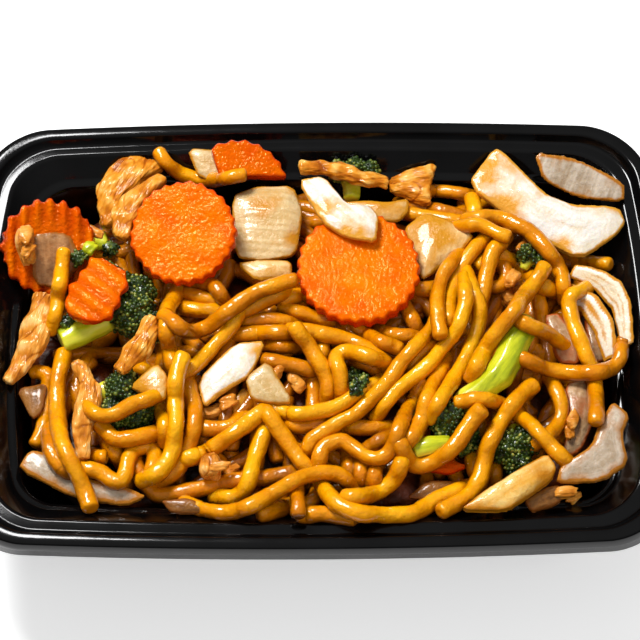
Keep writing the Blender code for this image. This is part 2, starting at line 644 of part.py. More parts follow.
def grow_noodles(core, toppings, tray):
    """Lays the traced noodles over the heap, lowest layer first, and fuses on what is clear of other pieces."""
    blockers = [surface(thing)[0] for thing in toppings + [tray]]
    grids = height_grids(toppings)
    clear = NOODLE_RADIUS + 1.5 * CLEARANCE
    size = (NOODLE_RADIUS, NOODLE_RADIUS)
    bodies = []
    for layer, ends, over, route in sorted(NOODLE_ROUTES.values(), key=lambda noodle: noodle[0]):
        knots = [Vector(p) for p in route]
        if ends[0] == "u":
            knots.insert(0, knots[0] + (knots[0] - knots[1]).normalized() * TUCK_PIXELS)
        if ends[1] == "u":
            knots.append(knots[-1] + (knots[-1] - knots[-2]).normalized() * TUCK_PIXELS)
        pixels = even_line(knots, 2.6)
        eye, rays = sight_lines(pixels)
        plan = eye[:2] + ((AIM_HEIGHT - eye[2]) / rays[:, 2:]) * rays[:, :2]
        lowest = np.array([core_height(x, y) + LAYER_HEIGHTS[layer] for x, y in plan])
        along = np.arange(len(lowest)) * 0.8
        for end, distance in zip(ends, (along, along[::-1])):
            if end == "u":
                lowest -= np.maximum(TUCK_DEPTH - distance * 0.7, 0.0)
        line = [Vector(p) for p in lay(pixels, lowest, over, grids)]
        stretches = [[]]
        for point in line:
            if any(tree.find_nearest(point, clear)[0] is not None for tree in blockers):
                stretches.append([])
            else:
                stretches[-1].append(point)
        for stretch in stretches:
            length = sum((q - p).length for p, q in zip(stretch, stretch[1:]))
            count = round(length / NOODLE_STEP)
            if count < SHORTEST_NOODLE:
                continue
            last = len(stretch) - 1
            path = [stretch[round(last * k / count)] for k in range(count + 1)]
            points, faces = sweep(path, (size, size, size), 0, NOODLE_SIDES, NOODLE_STEP)
            bodies.append(add("noodle", points, faces, "noodle"))
    fuse(core, bodies)


def build():
    for thing in list(bpy.data.objects):
        bpy.data.objects.remove(thing)

    tray = build_tray()
    core = build_core()
    placed = [surface(tray), surface(core)]
    toppings = []

    def rest(thing):
        settle(thing, placed)
        toppings.append(thing)

    # Low pieces along the edges of the heap.
    rest(plate(
        "onion_front_left",
        ((-92, -47), (-89, -41), (-82, -42), (-74, -49), (-58, -53), (-51, -56), (-58, -59), (-74, -56)),
        38, (0.0, 0.12), 0.5, 2.4, "onion"
    ))
    rest(plate(
        "onion_left_low",
        ((-95, -17.5), (-84, -15.5), (-85, -26.5), (-89, -29.5)), 38, (0.05, 0.0), 0.5, 2.2,
        "onion_sauced"
    ))
    rest(plate(
        "onion_front_low",
        ((-48, -58), (-38, -57), (-31, -63), (-44, -63)), 38, (0.0, 0.1), 0.5, 2.0, "onion_sauced"
    ))
    rest(plate(
        "onion_front_small",
        ((27, -57), (34, -51), (47, -51), (36, -58)), 38, (0.0, 0.1), 0.6, 2.0, "onion"
    ))
    rest(plate(
        "carrot_front",
        ((34, -48), (41, -44), (47, -47), (41, -50)), 40, (0.0, 0.0), 0.2, 3.0, "carrot"
    ))
    rest(plate(
        "onion_front_right_low",
        ((63, -60), (72, -55), (79, -56), (73, -62), (65, -64)), 37, (0.0, 0.15), 0.5, 2.4, "onion_sauced"
    ))
    rest(plate(
        "onion_right_upper",
        ((73, 6.5), (78, 6.5), (83, -6.5), (83, -12.5), (77, -11.5)), 39, (0.1, 0.0), 1.0, 2.0, "onion"
    ))
    rest(plate(
        "onion_right_outer",
        ((86, 7.5), (90, 5.5), (93, -3.5), (92, -9.5), (87, -10.5)), 39, (-0.1, 0.0), 1.0, 2.0,
        "onion_sauced"
    ))
    rest(plate(
        "onion_right_lower",
        ((79, -18.5), (85, -16.5), (86, -30.5), (82, -41.5), (76, -44.5), (79, -32.5)), 38, (0.1, 0.1),
        1.2, 2.2, "onion"
    ))

    # The left side: carrot slice against the wall, chicken and broccoli.
    rest(carrot_disc("carrot_left", 15.5, 5.5, 20, (-86, 29.5, 42.0), (27, 8)))
    rest(plate(
        "onion_on_carrot",
        ((-90, 31.5), (-80, 32.5), (-76, 23.5), (-82, 15.5), (-89, 16.5)), 46, (-0.12, 0.5), 0.6, 1.8,
        "onion"
    ))
    rest(floret(
        "broccoli_left",
        ((-81, -2, 38), (-71, 3, 38), (-60, 9, 37)), ((4.8, 4.0), (4.4, 4.0), (4.2, 4.0)), ((-58, 7, 38,
        8.0), (-64, 17, 38, 7.0), (-57, 15, 38, 6.0), (-51, 3, 38, 5.0), (-67, 23, 39, 3.5))
    ))
    rest(floret(
        "broccoli_lower_left",
        ((-68, -19, 36), (-61, -24, 36), (-56, -28, 36)), ((3.0, 3.0), (3.4, 3.4), (3.0, 3.0)), ((-60,
        -20, 38, 6.0), (-56, -28, 37, 6.0), (-63, -29, 36, 5.0))
    ))
    rest(strip(
        "chicken_left",
        ((-87, 14, 41), (-88, 5, 41), (-91, -7, 40), (-97, -17, 40)), ((3.2, 2.5), (5.6, 3.2), (2.0,
        1.6)), 10, "chicken"
    ))
    rest(strip(
        "chicken_lower_left",
        ((-75, -12, 40), (-70, -22, 41), (-72, -35, 41), (-71, -46, 40)), ((2.0, 1.8), (4.0, 3.0), (2.0,
        1.6)), 0, "chicken"
    ))
    rest(plate(
        "carrot_chunk",
        ((-70, 25), (-58, 16), (-65, -2), (-78, 1), (-79, 10)), 50, (0.05, -0.05), 0.3, 4.2, "carrot"
    ))
    rest(strip(
        "chicken_middle_left",
        ((-51, 0, 44), (-53, -8, 44), (-61, -18, 43)), ((2.4, 2.2), (4.8, 3.0), (2.2, 1.6)), 0, "chicken"
    ))
    rest(plate(
        "chicken_bit_left",
        ((-96, 31), (-90, 32), (-89, 22), (-94, 21)), 46, (0.0, 0.6), 0.6, 3.6, "chicken"
    ))

    # The back row.
    rest(floret(
        "broccoli_back",
        ((12, 50, 36), (12, 56, 37), (12, 60, 38)), ((3.0, 3.0), (3.4, 3.2), (2.8, 2.8)), ((8, 59, 39,
        3.6), (13, 60, 39, 4.2), (18, 59, 39, 3.6))
    ))
    rest(plate(
        "onion_back_left",
        ((-43, 67.5), (-28, 66.5), (-25, 56.5), (-38, 55.5)), 43, (0.0, 0.2), 0.8, 2.2, "onion"
    ))
    rest(carrot_disc(
        "carrot_back",
        16.5, 5.0, 22, (-25, 51, 45.0), (16, 4), cuts=((196, 5.0), (270, -3.8))
    ))
    rest(plate(
        "chicken_back_left",
        ((-70, 39), (-72, 52), (-67, 62), (-58, 65), (-49, 61), (-56, 55), (-63, 49), (-66, 39)), 44,
        (0.0, 0.1), 1.0, 5.0, "chicken"
    ))
    rest(plate(
        "chicken_upper_left",
        ((-65, 32), (-66, 43), (-60, 50), (-51, 55), (-48, 52), (-54, 45), (-59, 36), (-60, 31)), 47,
        (0.1, 0.05), 1.0, 4.0, "chicken"
    ))
    rest(strip(
        "chicken_back_middle",
        ((-5, 57, 44), (3, 57.5, 44), (13, 54, 44), (24, 51.5, 43)), ((2.4, 2.0), (3.2, 2.8), (2.6, 2.0)),
        0, "chicken"
    ))
    rest(plate(
        "onion_back_middle",
        ((8, 47.5), (16, 48), (24, 47), (31, 49), (31, 43.5), (27, 40), (17, 41)), 43, (0.0, 0.15), 0.6,
        2.2, "onion_sauced"
    ))
    rest(plate(
        "chicken_back_right",
        ((25, 53), (24, 58), (32, 61), (40, 62), (38, 54), (38, 47), (33, 49)), 45, (0.15, 0.1), 0.8, 3.6,
        "chicken"
    ))
    rest(plate(
        "onion_fan",
        ((29, 36), (36, 42), (43, 39), (51, 33), (47, 27), (40, 21), (34, 16), (32, 26)), 43, (0.05,
        0.05), 1.6, 2.2, "onion"
    ))
    rest(plate(
        "onion_far_right_back",
        ((71, 60.5), (85, 58.5), (101, 51), (101, 45), (86, 46.5), (74, 52)), 42, (0.0, 0.45), -0.6, 2.4,
        "onion"
    ))
    rest(plate(
        "onion_far_right",
        ((49, 52), (59, 66), (64, 62), (73, 49), (86, 43), (99, 43), (101, 37), (97, 32), (85, 24), (70,
        34)), 45, (0.04, 0.1), 1.0, 3.0, "onion"
    ))
    rest(strip(
        "onion_curved_outer",
        ((83, 22, 42), (91, 17, 43), (97, 8, 43), (99, -6, 42)), ((2.6, 1.1), (4.0, 1.3), (2.6, 1.1)), 35,
        "onion"
    ))
    rest(strip(
        "onion_curved_inner",
        ((81, 16, 42), (87, 9, 43), (91, 1, 43), (94, -10, 42)), ((2.2, 1.1), (3.2, 1.3), (2.2, 1.1)), 35,
        "onion_sauced"
    ))

    # The right side and the front.
    rest(floret(
        "broccoli_right",
        ((66, 0, 42), (63, -7, 44), (57, -20, 43), (47, -26, 40), (41, -32, 39)), ((5.4, 4.8), (5.0, 4.8),
        (3.0, 3.0)), ((41, -33, 39, 6.0), (36, -30, 38, 4.0), (46, -38, 37, 5.0))
    ))
    rest(floret(
        "broccoli_right_front",
        ((62, -33, 37), (62, -37, 38), (62, -41, 38)), ((3.0, 3.0), (3.4, 3.4), (3.0, 3.0)), ((59, -41,
        38, 5.2), (65, -39, 38, 5.2), (63, -45, 37, 4.6))
    ))
    rest(floret(
        "broccoli_small",
        ((67, 22, 37), (68, 25, 38), (69, 28, 39)), ((1.8, 1.8), (2.2, 2.2), (2.2, 2.2)), ((68, 27, 39,
        3.4), (72, 25, 38, 3.0))
    ))
    rest(strip(
        "broccoli_stem",
        ((30, -44, 40), (35, -42, 40), (42, -41, 40)), ((2.6, 2.2), (3.4, 2.8), (2.6, 2.2)), 0, "broccoli"
    ))
    rest(plate(
        "onion_lower_right",
        ((92, -29.5), (97, -34.5), (94, -40.5), (95, -49.5), (87, -55.5), (73, -56.5), (75, -50.5), (84,
        -44.5), (87, -37.5)), 40, (0.05, 0.1), 1.0, 2.6, "onion"
    ))
    rest(plate(
        "onion_front_right",
        ((71, -46), (74, -51), (72, -55), (64, -61), (58, -65), (43, -65), (50, -59), (61, -52)), 42,
        (0.0, 0.05), 1.2, 4.0, "onion_sauced"
    ))

    # The middle, lying on the others.
    rest(plate(
        "onion_broad",
        ((-27, 49), (-19, 53), (-7, 53), (-4, 43), (-6, 27), (-17, 25), (-26, 27)), 43, (0.0, 0.08), 2.0,
        2.4, "onion"
    ))
    rest(plate(
        "onion_strip_middle",
        ((-26, 24), (-17, 25), (-7, 24), (-7, 18), (-19, 17)), 43, (0.0, 0.1), 0.8, 2.2, "onion_sauced"
    ))
    rest(carrot_disc("carrot_upper_left", 17.3, 5.0, 26, (-42, 31, 48.0), (14, -3)))
    rest(carrot_disc("carrot_middle", 20.0, 5.2, 27, (14, 19, 47.5), (4, 0)))
    rest(plate(
        "onion_folded",
        ((-6, 50), (3, 52), (11, 40), (18, 40), (21, 35), (20, 25), (10, 27), (2, 33)), 52, (-0.02,
        -0.05), 1.6, 2.4, "onion"
    ))
    rest(plate(
        "onion_middle_white",
        ((-37, -18.5), (-25, -5.5), (-15, -4.5), (-20, -17.5), (-28, -22.5), (-35, -28.5)), 45, (0.1,
        0.0), 1.2, 2.4, "onion"
    ))
    rest(plate(
        "onion_middle_square",
        ((-22, -19), (-15, -13), (-6, -28), (-13, -28), (-20, -26)), 44, (0.0, 0.1), 0.8, 2.2, "onion"
    ))
    rest(plate(
        "onion_pale_green",
        ((-58, -23), (-49, -15), (-45, -20), (-46, -28), (-52, -27)), 45, (0.1, 0.1), 1.2, 2.6,
        "onion_sauced"
    ))
    rest(plate(
        "chicken_cube",
        ((-36, -44), (-30, -43), (-29, -51), (-35, -52)), 46, (0.0, 0.0), 0.3, 6.0, "chicken"
    ))

    grow_noodles(core, toppings, tray)


build()
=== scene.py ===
"""Noodle takeaway box: the looks of the food and of the black tray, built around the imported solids.

Sizes are in millimetres until a mesh is made. X runs along the tray, Y to its back, Z up from the table.
"""

import math

import bmesh
import bpy
import numpy as np
from mathutils import Matrix, Vector, kdtree


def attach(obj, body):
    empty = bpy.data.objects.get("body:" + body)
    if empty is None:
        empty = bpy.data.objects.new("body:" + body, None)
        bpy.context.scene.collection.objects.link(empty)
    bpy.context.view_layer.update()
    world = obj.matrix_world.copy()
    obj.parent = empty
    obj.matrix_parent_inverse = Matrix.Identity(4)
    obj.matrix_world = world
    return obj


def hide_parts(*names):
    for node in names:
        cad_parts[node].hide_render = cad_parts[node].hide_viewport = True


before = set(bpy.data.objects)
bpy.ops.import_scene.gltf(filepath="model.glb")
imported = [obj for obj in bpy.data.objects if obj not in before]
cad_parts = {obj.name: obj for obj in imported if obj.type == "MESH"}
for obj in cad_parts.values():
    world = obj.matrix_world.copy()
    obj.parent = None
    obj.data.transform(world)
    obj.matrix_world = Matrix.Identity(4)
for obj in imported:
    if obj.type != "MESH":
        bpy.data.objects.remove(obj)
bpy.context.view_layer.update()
MM = 0.001

# ---- Viewpoint -------------------------------------------------------------------------------------------
# The photograph looks down on the tray from its long front side, from about 0.7 m away, with a long lens.
# The same numbers turn a pixel of the photograph into a place on the food at a known height.
def new_object(name, data):
    """A new object in the scene."""
    made = bpy.data.objects.new(name, data)
    bpy.context.scene.collection.objects.link(made)
    return made


VIEW_ELEVATION = math.radians(61.24)
VIEW_TURN = math.radians(1.33)
VIEW_ROLL = math.radians(1.57)
VIEW_DISTANCE = 721.27
AIM_HEIGHT = 45.0
PHOTO_SIDE = 640
PHOTO_CENTRE = (314.91, 324.24)
FOCAL_PIXELS = 2285.25
SENSOR = 36.0

to_camera = np.array((
    math.sin(VIEW_TURN) * math.cos(VIEW_ELEVATION),
    -math.cos(VIEW_TURN) * math.cos(VIEW_ELEVATION),
    math.sin(VIEW_ELEVATION),
))
level_right = np.array((math.cos(VIEW_TURN), math.sin(VIEW_TURN), 0.0))
level_up = np.cross(to_camera, level_right)
image_right = level_right * math.cos(VIEW_ROLL) - level_up * math.sin(VIEW_ROLL)
image_up = level_right * math.sin(VIEW_ROLL) + level_up * math.cos(VIEW_ROLL)
eye = to_camera * VIEW_DISTANCE + np.array((0.0, 0.0, AIM_HEIGHT))

lens = bpy.data.cameras.new("photo_lens")
lens.sensor_width = SENSOR
lens.lens = SENSOR * FOCAL_PIXELS / PHOTO_SIDE
lens.shift_x = (PHOTO_SIDE / 2 - PHOTO_CENTRE[0]) / PHOTO_SIDE
lens.shift_y = -(PHOTO_SIDE / 2 - PHOTO_CENTRE[1]) / PHOTO_SIDE
lens.clip_start = 0.05
camera = new_object("photo_camera", lens)
camera.matrix_world = Matrix((
    (image_right[0], image_up[0], to_camera[0], eye[0] * MM),
    (image_right[1], image_up[1], to_camera[1], eye[1] * MM),
    (image_right[2], image_up[2], to_camera[2], eye[2] * MM),
    (0.0, 0.0, 0.0, 1.0),
))
bpy.context.scene.camera = camera


def from_photo(pixels, heights):
    """Where the sight lines of some pixels reach the given heights, in millimetres."""
    pixels = np.asarray(pixels, float)
    right = (pixels[:, 0] - PHOTO_CENTRE[0]) / FOCAL_PIXELS
    up = (PHOTO_CENTRE[1] - pixels[:, 1]) / FOCAL_PIXELS
    rays = right[:, None] * image_right + up[:, None] * image_up - to_camera
    reach = (heights - eye[2]) / rays[:, 2]
    return eye[:2] + reach[:, None] * rays[:, :2]


# ---- Studio ----------------------------------------------------------------------------------------------
# A white table and soft white light: one large lamp behind on the left gives the long glints on the noodles,
# and a weaker one fills the front.
def linear(code, alpha=1.0):
    """The linear colour of an sRGB hex code."""
    shares = [int(code[k:k + 2], 16) / 255 for k in (0, 2, 4)]
    return tuple(c / 12.92 if c <= 0.04045 else ((c + 0.055) / 1.055) ** 2.4 for c in shares) + (alpha,)


def node(tree, kind, inputs=None, stops=None, **settings):
    """Adds one node with its settings, its input values or links, and the stops of a colour ramp."""
    made = tree.nodes.new(kind)
    for key, value in settings.items():
        setattr(made, key, value)
    for key, value in (inputs or {}).items():
        if isinstance(value, bpy.types.NodeSocket):
            tree.links.new(value, made.inputs[key])
        else:
            made.inputs[key].default_value = value
    if stops:
        ramp = made.color_ramp.elements
        while len(ramp) < len(stops):
            ramp.new(0.5)
        for element, (place, code) in zip(ramp, stops):
            element.position = place
            element.color = linear(code)
    return made


def blank_material(name, roughness, ior=1.45, **levels):
    """A new material with its Principled shader and object coordinates, ready for its own nodes."""
    made = bpy.data.materials.new(name)
    made.use_nodes = True
    tree = made.node_tree
    shader = tree.nodes["Principled BSDF"]
    shader.inputs["Roughness"].default_value = roughness
    shader.inputs["IOR"].default_value = ior
    for key, value in levels.items():
        shader.inputs[key.replace("_", " ")].default_value = value
    place = node(tree, "ShaderNodeTexCoord").outputs["Object"]
    return made, tree, shader, place


def stored(tree, name, kind="Fac"):
    """What a mesh stores at its points under a name."""
    return node(tree, "ShaderNodeAttribute", attribute_name=name).outputs[kind]


def stretched(tree, grain, share):
    """Grain coordinates drawn out lengthwise."""
    return node(tree, "ShaderNodeMapping", {"Vector": grain, "Scale": (share, 1.0, 1.0)}).outputs["Vector"]


def noise(tree, where, scale, detail, roughness=0.5):
    """A cloudy pattern, its scale per metre."""
    return node(tree, "ShaderNodeTexNoise", {
        "Vector": where, "Scale": scale, "Detail": detail, "Roughness": roughness}).outputs["Fac"]


def maths(tree, operation, *values):
    """One sum of values or links."""
    return node(tree, "ShaderNodeMath", dict(enumerate(values)), operation=operation).outputs["Value"]


def ranged(tree, value, start, end, low=0.0, high=1.0):
    """A value between start and end, turned into one between low and high."""
    return node(tree, "ShaderNodeMapRange", {
        "Value": value, "From Min": start, "From Max": end, "To Min": low, "To Max": high}).outputs["Result"]


def colours(tree, share, *stops):
    """The colour at a share of the way along some stops."""
    return node(tree, "ShaderNodeValToRGB", {"Fac": share}, stops=stops).outputs["Color"]


def tinted(tree, share, base, code):
    """A colour that gives way to another by a share from 0 to 1."""
    return node(tree, "ShaderNodeMix", {"Factor": share, 6: base, 7: linear(code)}, data_type="RGBA").outputs[2]


def bumped(tree, height, strength, distance, under=None):
    """Fine relief, on top of another one if given."""
    levels = {"Height": height, "Strength": strength, "Distance": distance}
    if under:
        levels["Normal"] = under
    return node(tree, "ShaderNodeBump", levels).outputs["Normal"]


def wire(tree, shader, **sources):
    """Links patterns to the shader's inputs."""
    for key, source in sources.items():
        tree.links.new(source, shader.inputs[key.replace("_", " ")])


TABLE_SIDE = 2400.0
table_mesh = bpy.data.meshes.new("white_table")
half_table = TABLE_SIDE * MM / 2
table_mesh.from_pydata(
    [(x * half_table, y * half_table, 0) for x, y in ((-1, -1), (1, -1), (1, 1), (-1, 1))], [], [(0, 1, 2, 3)])
table = new_object("white_table", table_mesh)
# Matt white paint: no gloss, so only the soft shadow shows on it.
table_paint, tree, shader, place = blank_material("matt_white_paint", 0.9)
shader.inputs["Base Color"].default_value = linear("FBFBFB")
shader.inputs["Emission Color"].default_value = linear("FFFFFF")
shader.inputs["Emission Strength"].default_value = 0.42
table_mesh.materials.append(table_paint)

for lamp_name, where, side, watts in (
    ("window_lamp", (-260, 330, 640), 230, 6.7),
    ("fill_lamp", (420, -380, 620), 320, 1.3),
    ("front_lamp", (-300, -520, 480), 260, 0.5),
):
    light = bpy.data.lights.new(lamp_name, "AREA")
    light.size = side * MM
    light.energy = watts
    lamp = new_object(lamp_name, light)
    lamp.location = [c * MM for c in where]
    away = Vector(lamp.location) - Vector((0, 0, AIM_HEIGHT * MM))
    lamp.rotation_euler = away.to_track_quat("Z", "Y").to_euler()
    lamp.visible_glossy = lamp_name == "window_lamp"
sky = bpy.data.worlds.new("white_room")
sky.use_nodes = True
# The room is light above and dim low down, so the tray's steep walls stay black.
tree = sky.node_tree
way_up = node(tree, "ShaderNodeSeparateXYZ", {"Vector": node(tree, "ShaderNodeTexCoord").outputs["Generated"]})
backdrop = tree.nodes["Background"]
backdrop.inputs["Color"].default_value = linear("FFFFFF")
tree.links.new(ranged(tree, way_up.outputs["Z"], 0.15, 0.95, 0.03, 0.34), backdrop.inputs["Strength"])
bpy.context.scene.world = sky
bpy.context.scene.view_settings.view_transform = "Standard"

# ---- Tray ------------------------------------------------------------------------------------------------
# A thin tray of black polypropylene, vacuum formed in one piece: a flat flange, a step down to a ledge for the
# lid, and walls that lean in to the floor. Its section is a list of distances inwards and heights, in mm.
HALF_LENGTH = 106.9
HALF_WIDTH = 73.8
LONG_SIDE_BOW = 2.9
SHORT_SIDE_BOW = 5.3
CORNER_RADIUS = 19.0
CORNER_SHRINK = 0.55
SMALLEST_CORNER = 6.0
TRAY_TOP = (
    (-0.95, 39.0), (-0.3, 42.6), (0.0, 44.2), (0.3, 44.8), (0.8, 45.0), (3.3, 45.0), (3.8, 44.8), (4.2, 44.2),
    (5.2, 42.6), (5.7, 42.15), (6.4, 42.1), (8.5, 42.65), (9.2, 42.5), (9.9, 41.9), (14.3, 36.8), (14.9, 36.35),
    (15.6, 36.15), (16.6, 35.9), (17.1, 35.4), (17.35, 34.6), (20.3, 5.0), (20.7, 3.2), (21.6, 1.8),
    (24.0, 1.0),
)
TRAY_UNDERSIDE = (
    (0.05, 39.0), (0.9, 43.5), (1.2, 44.0), (3.1, 44.0), (3.5, 43.7), (4.7, 41.5), (5.2, 41.0), (6.0, 40.95),
    (8.6, 41.6), (13.9, 35.7), (15.0, 35.1), (16.0, 34.9), (16.3, 34.2), (19.3, 4.8), (19.7, 2.4), (20.6, 1.0),
    (23.5, 0.0),
)


def tray_outline(inset, corner=None, arc_steps=18, side_steps=26):
    """The tray's bowed, rounded outline at a distance inwards, as points round it."""
    a, b = HALF_LENGTH - inset, HALF_WIDTH - inset
    r = corner or max(CORNER_RADIUS - CORNER_SHRINK * max(inset, 0.0), SMALLEST_CORNER)
    points = []
    for sx, sy, start in ((1, 1, 0), (-1, 1, 90), (-1, -1, 180), (1, -1, 270)):
        for k in range(arc_steps + 1):
            turn = math.radians(start + 90.0 * k / arc_steps)
            points.append((sx * (a - r) + r * math.cos(turn), sy * (b - r) + r * math.sin(turn)))
        end = points[-1]
        along = start in (0, 180)
        length = 2 * ((a if along else b) - r)
        for k in range(1, side_steps):
            move = length * k / side_steps
            points.append((end[0] - sx * move, end[1]) if along else (end[0], end[1] - sy * move))
    return [(x + SHORT_SIDE_BOW * (1 - (y / b) ** 2) * x / a, y + LONG_SIDE_BOW * (1 - (x / a) ** 2) * y / b)
            for x, y in points]


def new_piece(name, points, faces, material):
    """A smooth-shaded object from points in millimetres, closed and with its faces outwards."""
    mesh = bpy.data.meshes.new(name)
    mesh.from_pydata([tuple(float(c) * MM for c in p) for p in points], [], faces)
    work = bmesh.new()
    work.from_mesh(mesh)
    bmesh.ops.recalc_face_normals(work, faces=work.faces)
    if work.calc_volume(signed=True) < 0:
        bmesh.ops.reverse_faces(work, faces=work.faces)
    work.to_mesh(mesh)
    work.free()
    mesh.shade_smooth()
    mesh.materials.append(material)
    return new_object(name, mesh)


def ring_faces(ring_starts, count, closed=False):
    """The quads between rings of equally many points."""
    faces = []
    pairs = list(zip(ring_starts, ring_starts[1:]))
    if closed:
        pairs.append((ring_starts[-1], ring_starts[0]))
    for first, second in pairs:
        for k in range(count):
            after = (k + 1) % count
            faces.append((first + k, first + after, second + after, second + k))
    return faces


def cap(points, faces, start, count, height):
    """Closes a ring of points with a fan round its middle."""
    faces += [(start + k, start + (k + 1) % count, len(points)) for k in range(count)]
    points.append((0.0, 0.0, height))


# Vacuum-formed polypropylene: deep black, fairly glossy, with the faint waviness of the sheet.
tray_plastic, tree, shader, place = blank_material(
    "black_polypropylene", 0.16, ior=1.49, Specular_IOR_Level=0.36)
ripples = noise(tree, place, 70.0, 2.0)
pores = noise(tree, place, 1500.0, 2.0)
soft_wave = bumped(tree, ripples, 0.12, 0.001)
wire(tree, shader, Roughness=ranged(tree, ripples, 0.0, 1.0, 0.07, 0.15),
     Base_Color=colours(tree, ripples, (0.3, "030303"), (0.75, "070708")),
     Normal=bumped(tree, pores, 0.05, 0.0001, soft_wave))

points, ring_starts = [], []
for inset, height in TRAY_TOP + TRAY_UNDERSIDE[::-1]:
    ring = tray_outline(inset)
    ring_starts.append(len(points))
    points += [(x, y, height) for x, y in ring]
ring_size = len(ring)
top_rings, under_rings = ring_starts[:len(TRAY_TOP)], ring_starts[len(TRAY_TOP):]
faces = ring_faces(top_rings, ring_size) + ring_faces(under_rings, ring_size)
faces += ring_faces([under_rings[-1], top_rings[0]], ring_size)
cap(points, faces, top_rings[-1], ring_size, TRAY_TOP[-1][1])
cap(points, faces, under_rings[0], ring_size, 0.0)
tray = new_piece("formed_tray", points, faces, tray_plastic)
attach(tray, "root")
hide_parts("tray")

# ---- Onion -----------------------------------------------------------------------------------------------
# Pieces and strips cut from white onion, stir-fried until they bend: one leaf thick, with fine lines
# lengthwise, amber where they were cut and stained by the sauce.
def waves(points, length, seed):
    """A smooth random value between about -1 and 1 at each point, which changes over the given length."""
    draw = np.random.default_rng(seed)
    total = np.zeros(len(points))
    for _ in range(7):
        way = draw.normal(size=3)
        way /= np.linalg.norm(way)
        total += np.sin(points @ way * math.tau / (length * draw.uniform(0.7, 1.6)) + draw.uniform(0, math.tau))
    return total / 3.5


def fine_copy(name, voxel, rounds):
    """A finer copy of a solid, remeshed and smoothed, with its points and normals in millimetres."""
    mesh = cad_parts[name].data.copy()
    work = bmesh.new()
    work.from_mesh(mesh)
    bmesh.ops.remove_doubles(work, verts=work.verts, dist=1e-6)
    work.to_mesh(mesh)
    work.free()
    rough = new_object("rough_" + name, mesh)
    remesh = rough.modifiers.new("remesh", "REMESH")
    remesh.mode = "VOXEL"
    remesh.voxel_size = voxel * MM
    soften = rough.modifiers.new("soften", "SMOOTH")
    soften.factor = 0.5
    soften.iterations = rounds
    bpy.context.view_layer.update()
    fine = bpy.data.meshes.new_from_object(rough.evaluated_get(bpy.context.evaluated_depsgraph_get()))
    bpy.data.objects.remove(rough)
    count = len(fine.vertices)
    co = np.empty(count * 3)
    fine.vertices.foreach_get("co", co)
    normals = np.empty(count * 3)
    fine.vertex_normals.foreach_get("vector", normals)
    return fine, co.reshape(-1, 3) / MM, normals.reshape(-1, 3)


def grain_axes(points):
    """The middle of a piece and its long, cross and thin directions."""
    middle = points.mean(0)
    _, axes = np.linalg.eigh(np.cov((points - middle).T))
    axes = axes[:, ::-1]
    if axes[2, 2] < 0:
        axes[:, 2] *= -1
    return middle, axes


CUT_SIDE_TILT = 0.45
FAR_AWAY = (999.0, 999.0, 999.0)


def rim_distance(points, normals, thin):
    """How far each point is from the piece's cut side, in millimetres."""
    side = np.abs(normals @ thin) < CUT_SIDE_TILT
    tree = kdtree.KDTree(int(side.sum()) + 1)
    for k, p in enumerate(points[side]):
        tree.insert(p, k)
    tree.insert(FAR_AWAY, 10**6)
    tree.balance()
    return np.array([tree.find(p)[2] for p in points])


def store(mesh, key, values):
    """Stores a number or a vector at each point of a mesh, for its material to read."""
    values = np.asarray(values, np.float32)
    kind, field = ("FLOAT", "value") if values.ndim == 1 else ("FLOAT_VECTOR", "vector")
    mesh.attributes.new(key, kind, "POINT").data.foreach_set(field, values.ravel())


def finish_piece(mesh, name, points, material, slot, **attributes):
    """Puts the moved points back, stores what the material reads, and ties the piece to its node."""
    mesh.vertices.foreach_set("co", (points * MM).ravel())
    for key, values in attributes.items():
        store(mesh, key, values)
    mesh.materials.clear()
    mesh.materials.append(material)
    mesh.polygons.foreach_set("material_index", [0] * len(mesh.polygons))
    mesh.shade_smooth()
    mesh.update()
    piece = new_object("cooked_" + name, mesh)
    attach(piece, "root")
    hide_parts(name)
    return piece


def onion_material(name, pale, shade, amber, stain, gloss):
    """Fried onion: a moist leaf with lines 1 to 2 mm apart, stained where the sauce has reached it."""
    made, tree, shader, place = blank_material(
        name, gloss, ior=1.4, Subsurface_Weight=0.15, Subsurface_Radius=(1.0, 0.6, 0.3),
        Subsurface_Scale=0.0015, Specular_IOR_Level=0.3, Coat_Weight=0.35, Coat_Roughness=0.07)
    lines = noise(tree, stretched(tree, stored(tree, "grain", "Vector"), 0.08), 520.0, 4.0)
    grit = noise(tree, place, 620.0, 3.0, 0.6)
    mottled = maths(tree, "MULTIPLY_ADD", lines, 0.5, 0.0)
    mottled = maths(tree, "MULTIPLY_ADD", grit, 0.25, mottled)
    mottled = maths(tree, "MULTIPLY_ADD", noise(tree, place, 70.0, 3.0), 0.3, mottled)
    leaf = colours(tree, mottled, (0.42, shade), (0.6, pale))
    cut_edge = ranged(tree, stored(tree, "rim"), 0.2, 1.6, 0.6, 0.0)
    wet = maths(tree, "ADD", noise(tree, place, 110.0, 4.0, 0.55), cut_edge)
    wet = maths(tree, "MULTIPLY_ADD", stored(tree, "soak"), 0.5, wet)
    cover = ranged(tree, wet, 0.58 - stain, 0.9 - stain)
    ridged = bumped(tree, lines, 0.35, 0.0003)
    wire(tree, shader, Base_Color=tinted(tree, cover, leaf, amber),
         Normal=bumped(tree, grit, 0.7, 0.0006, ridged))
    return made


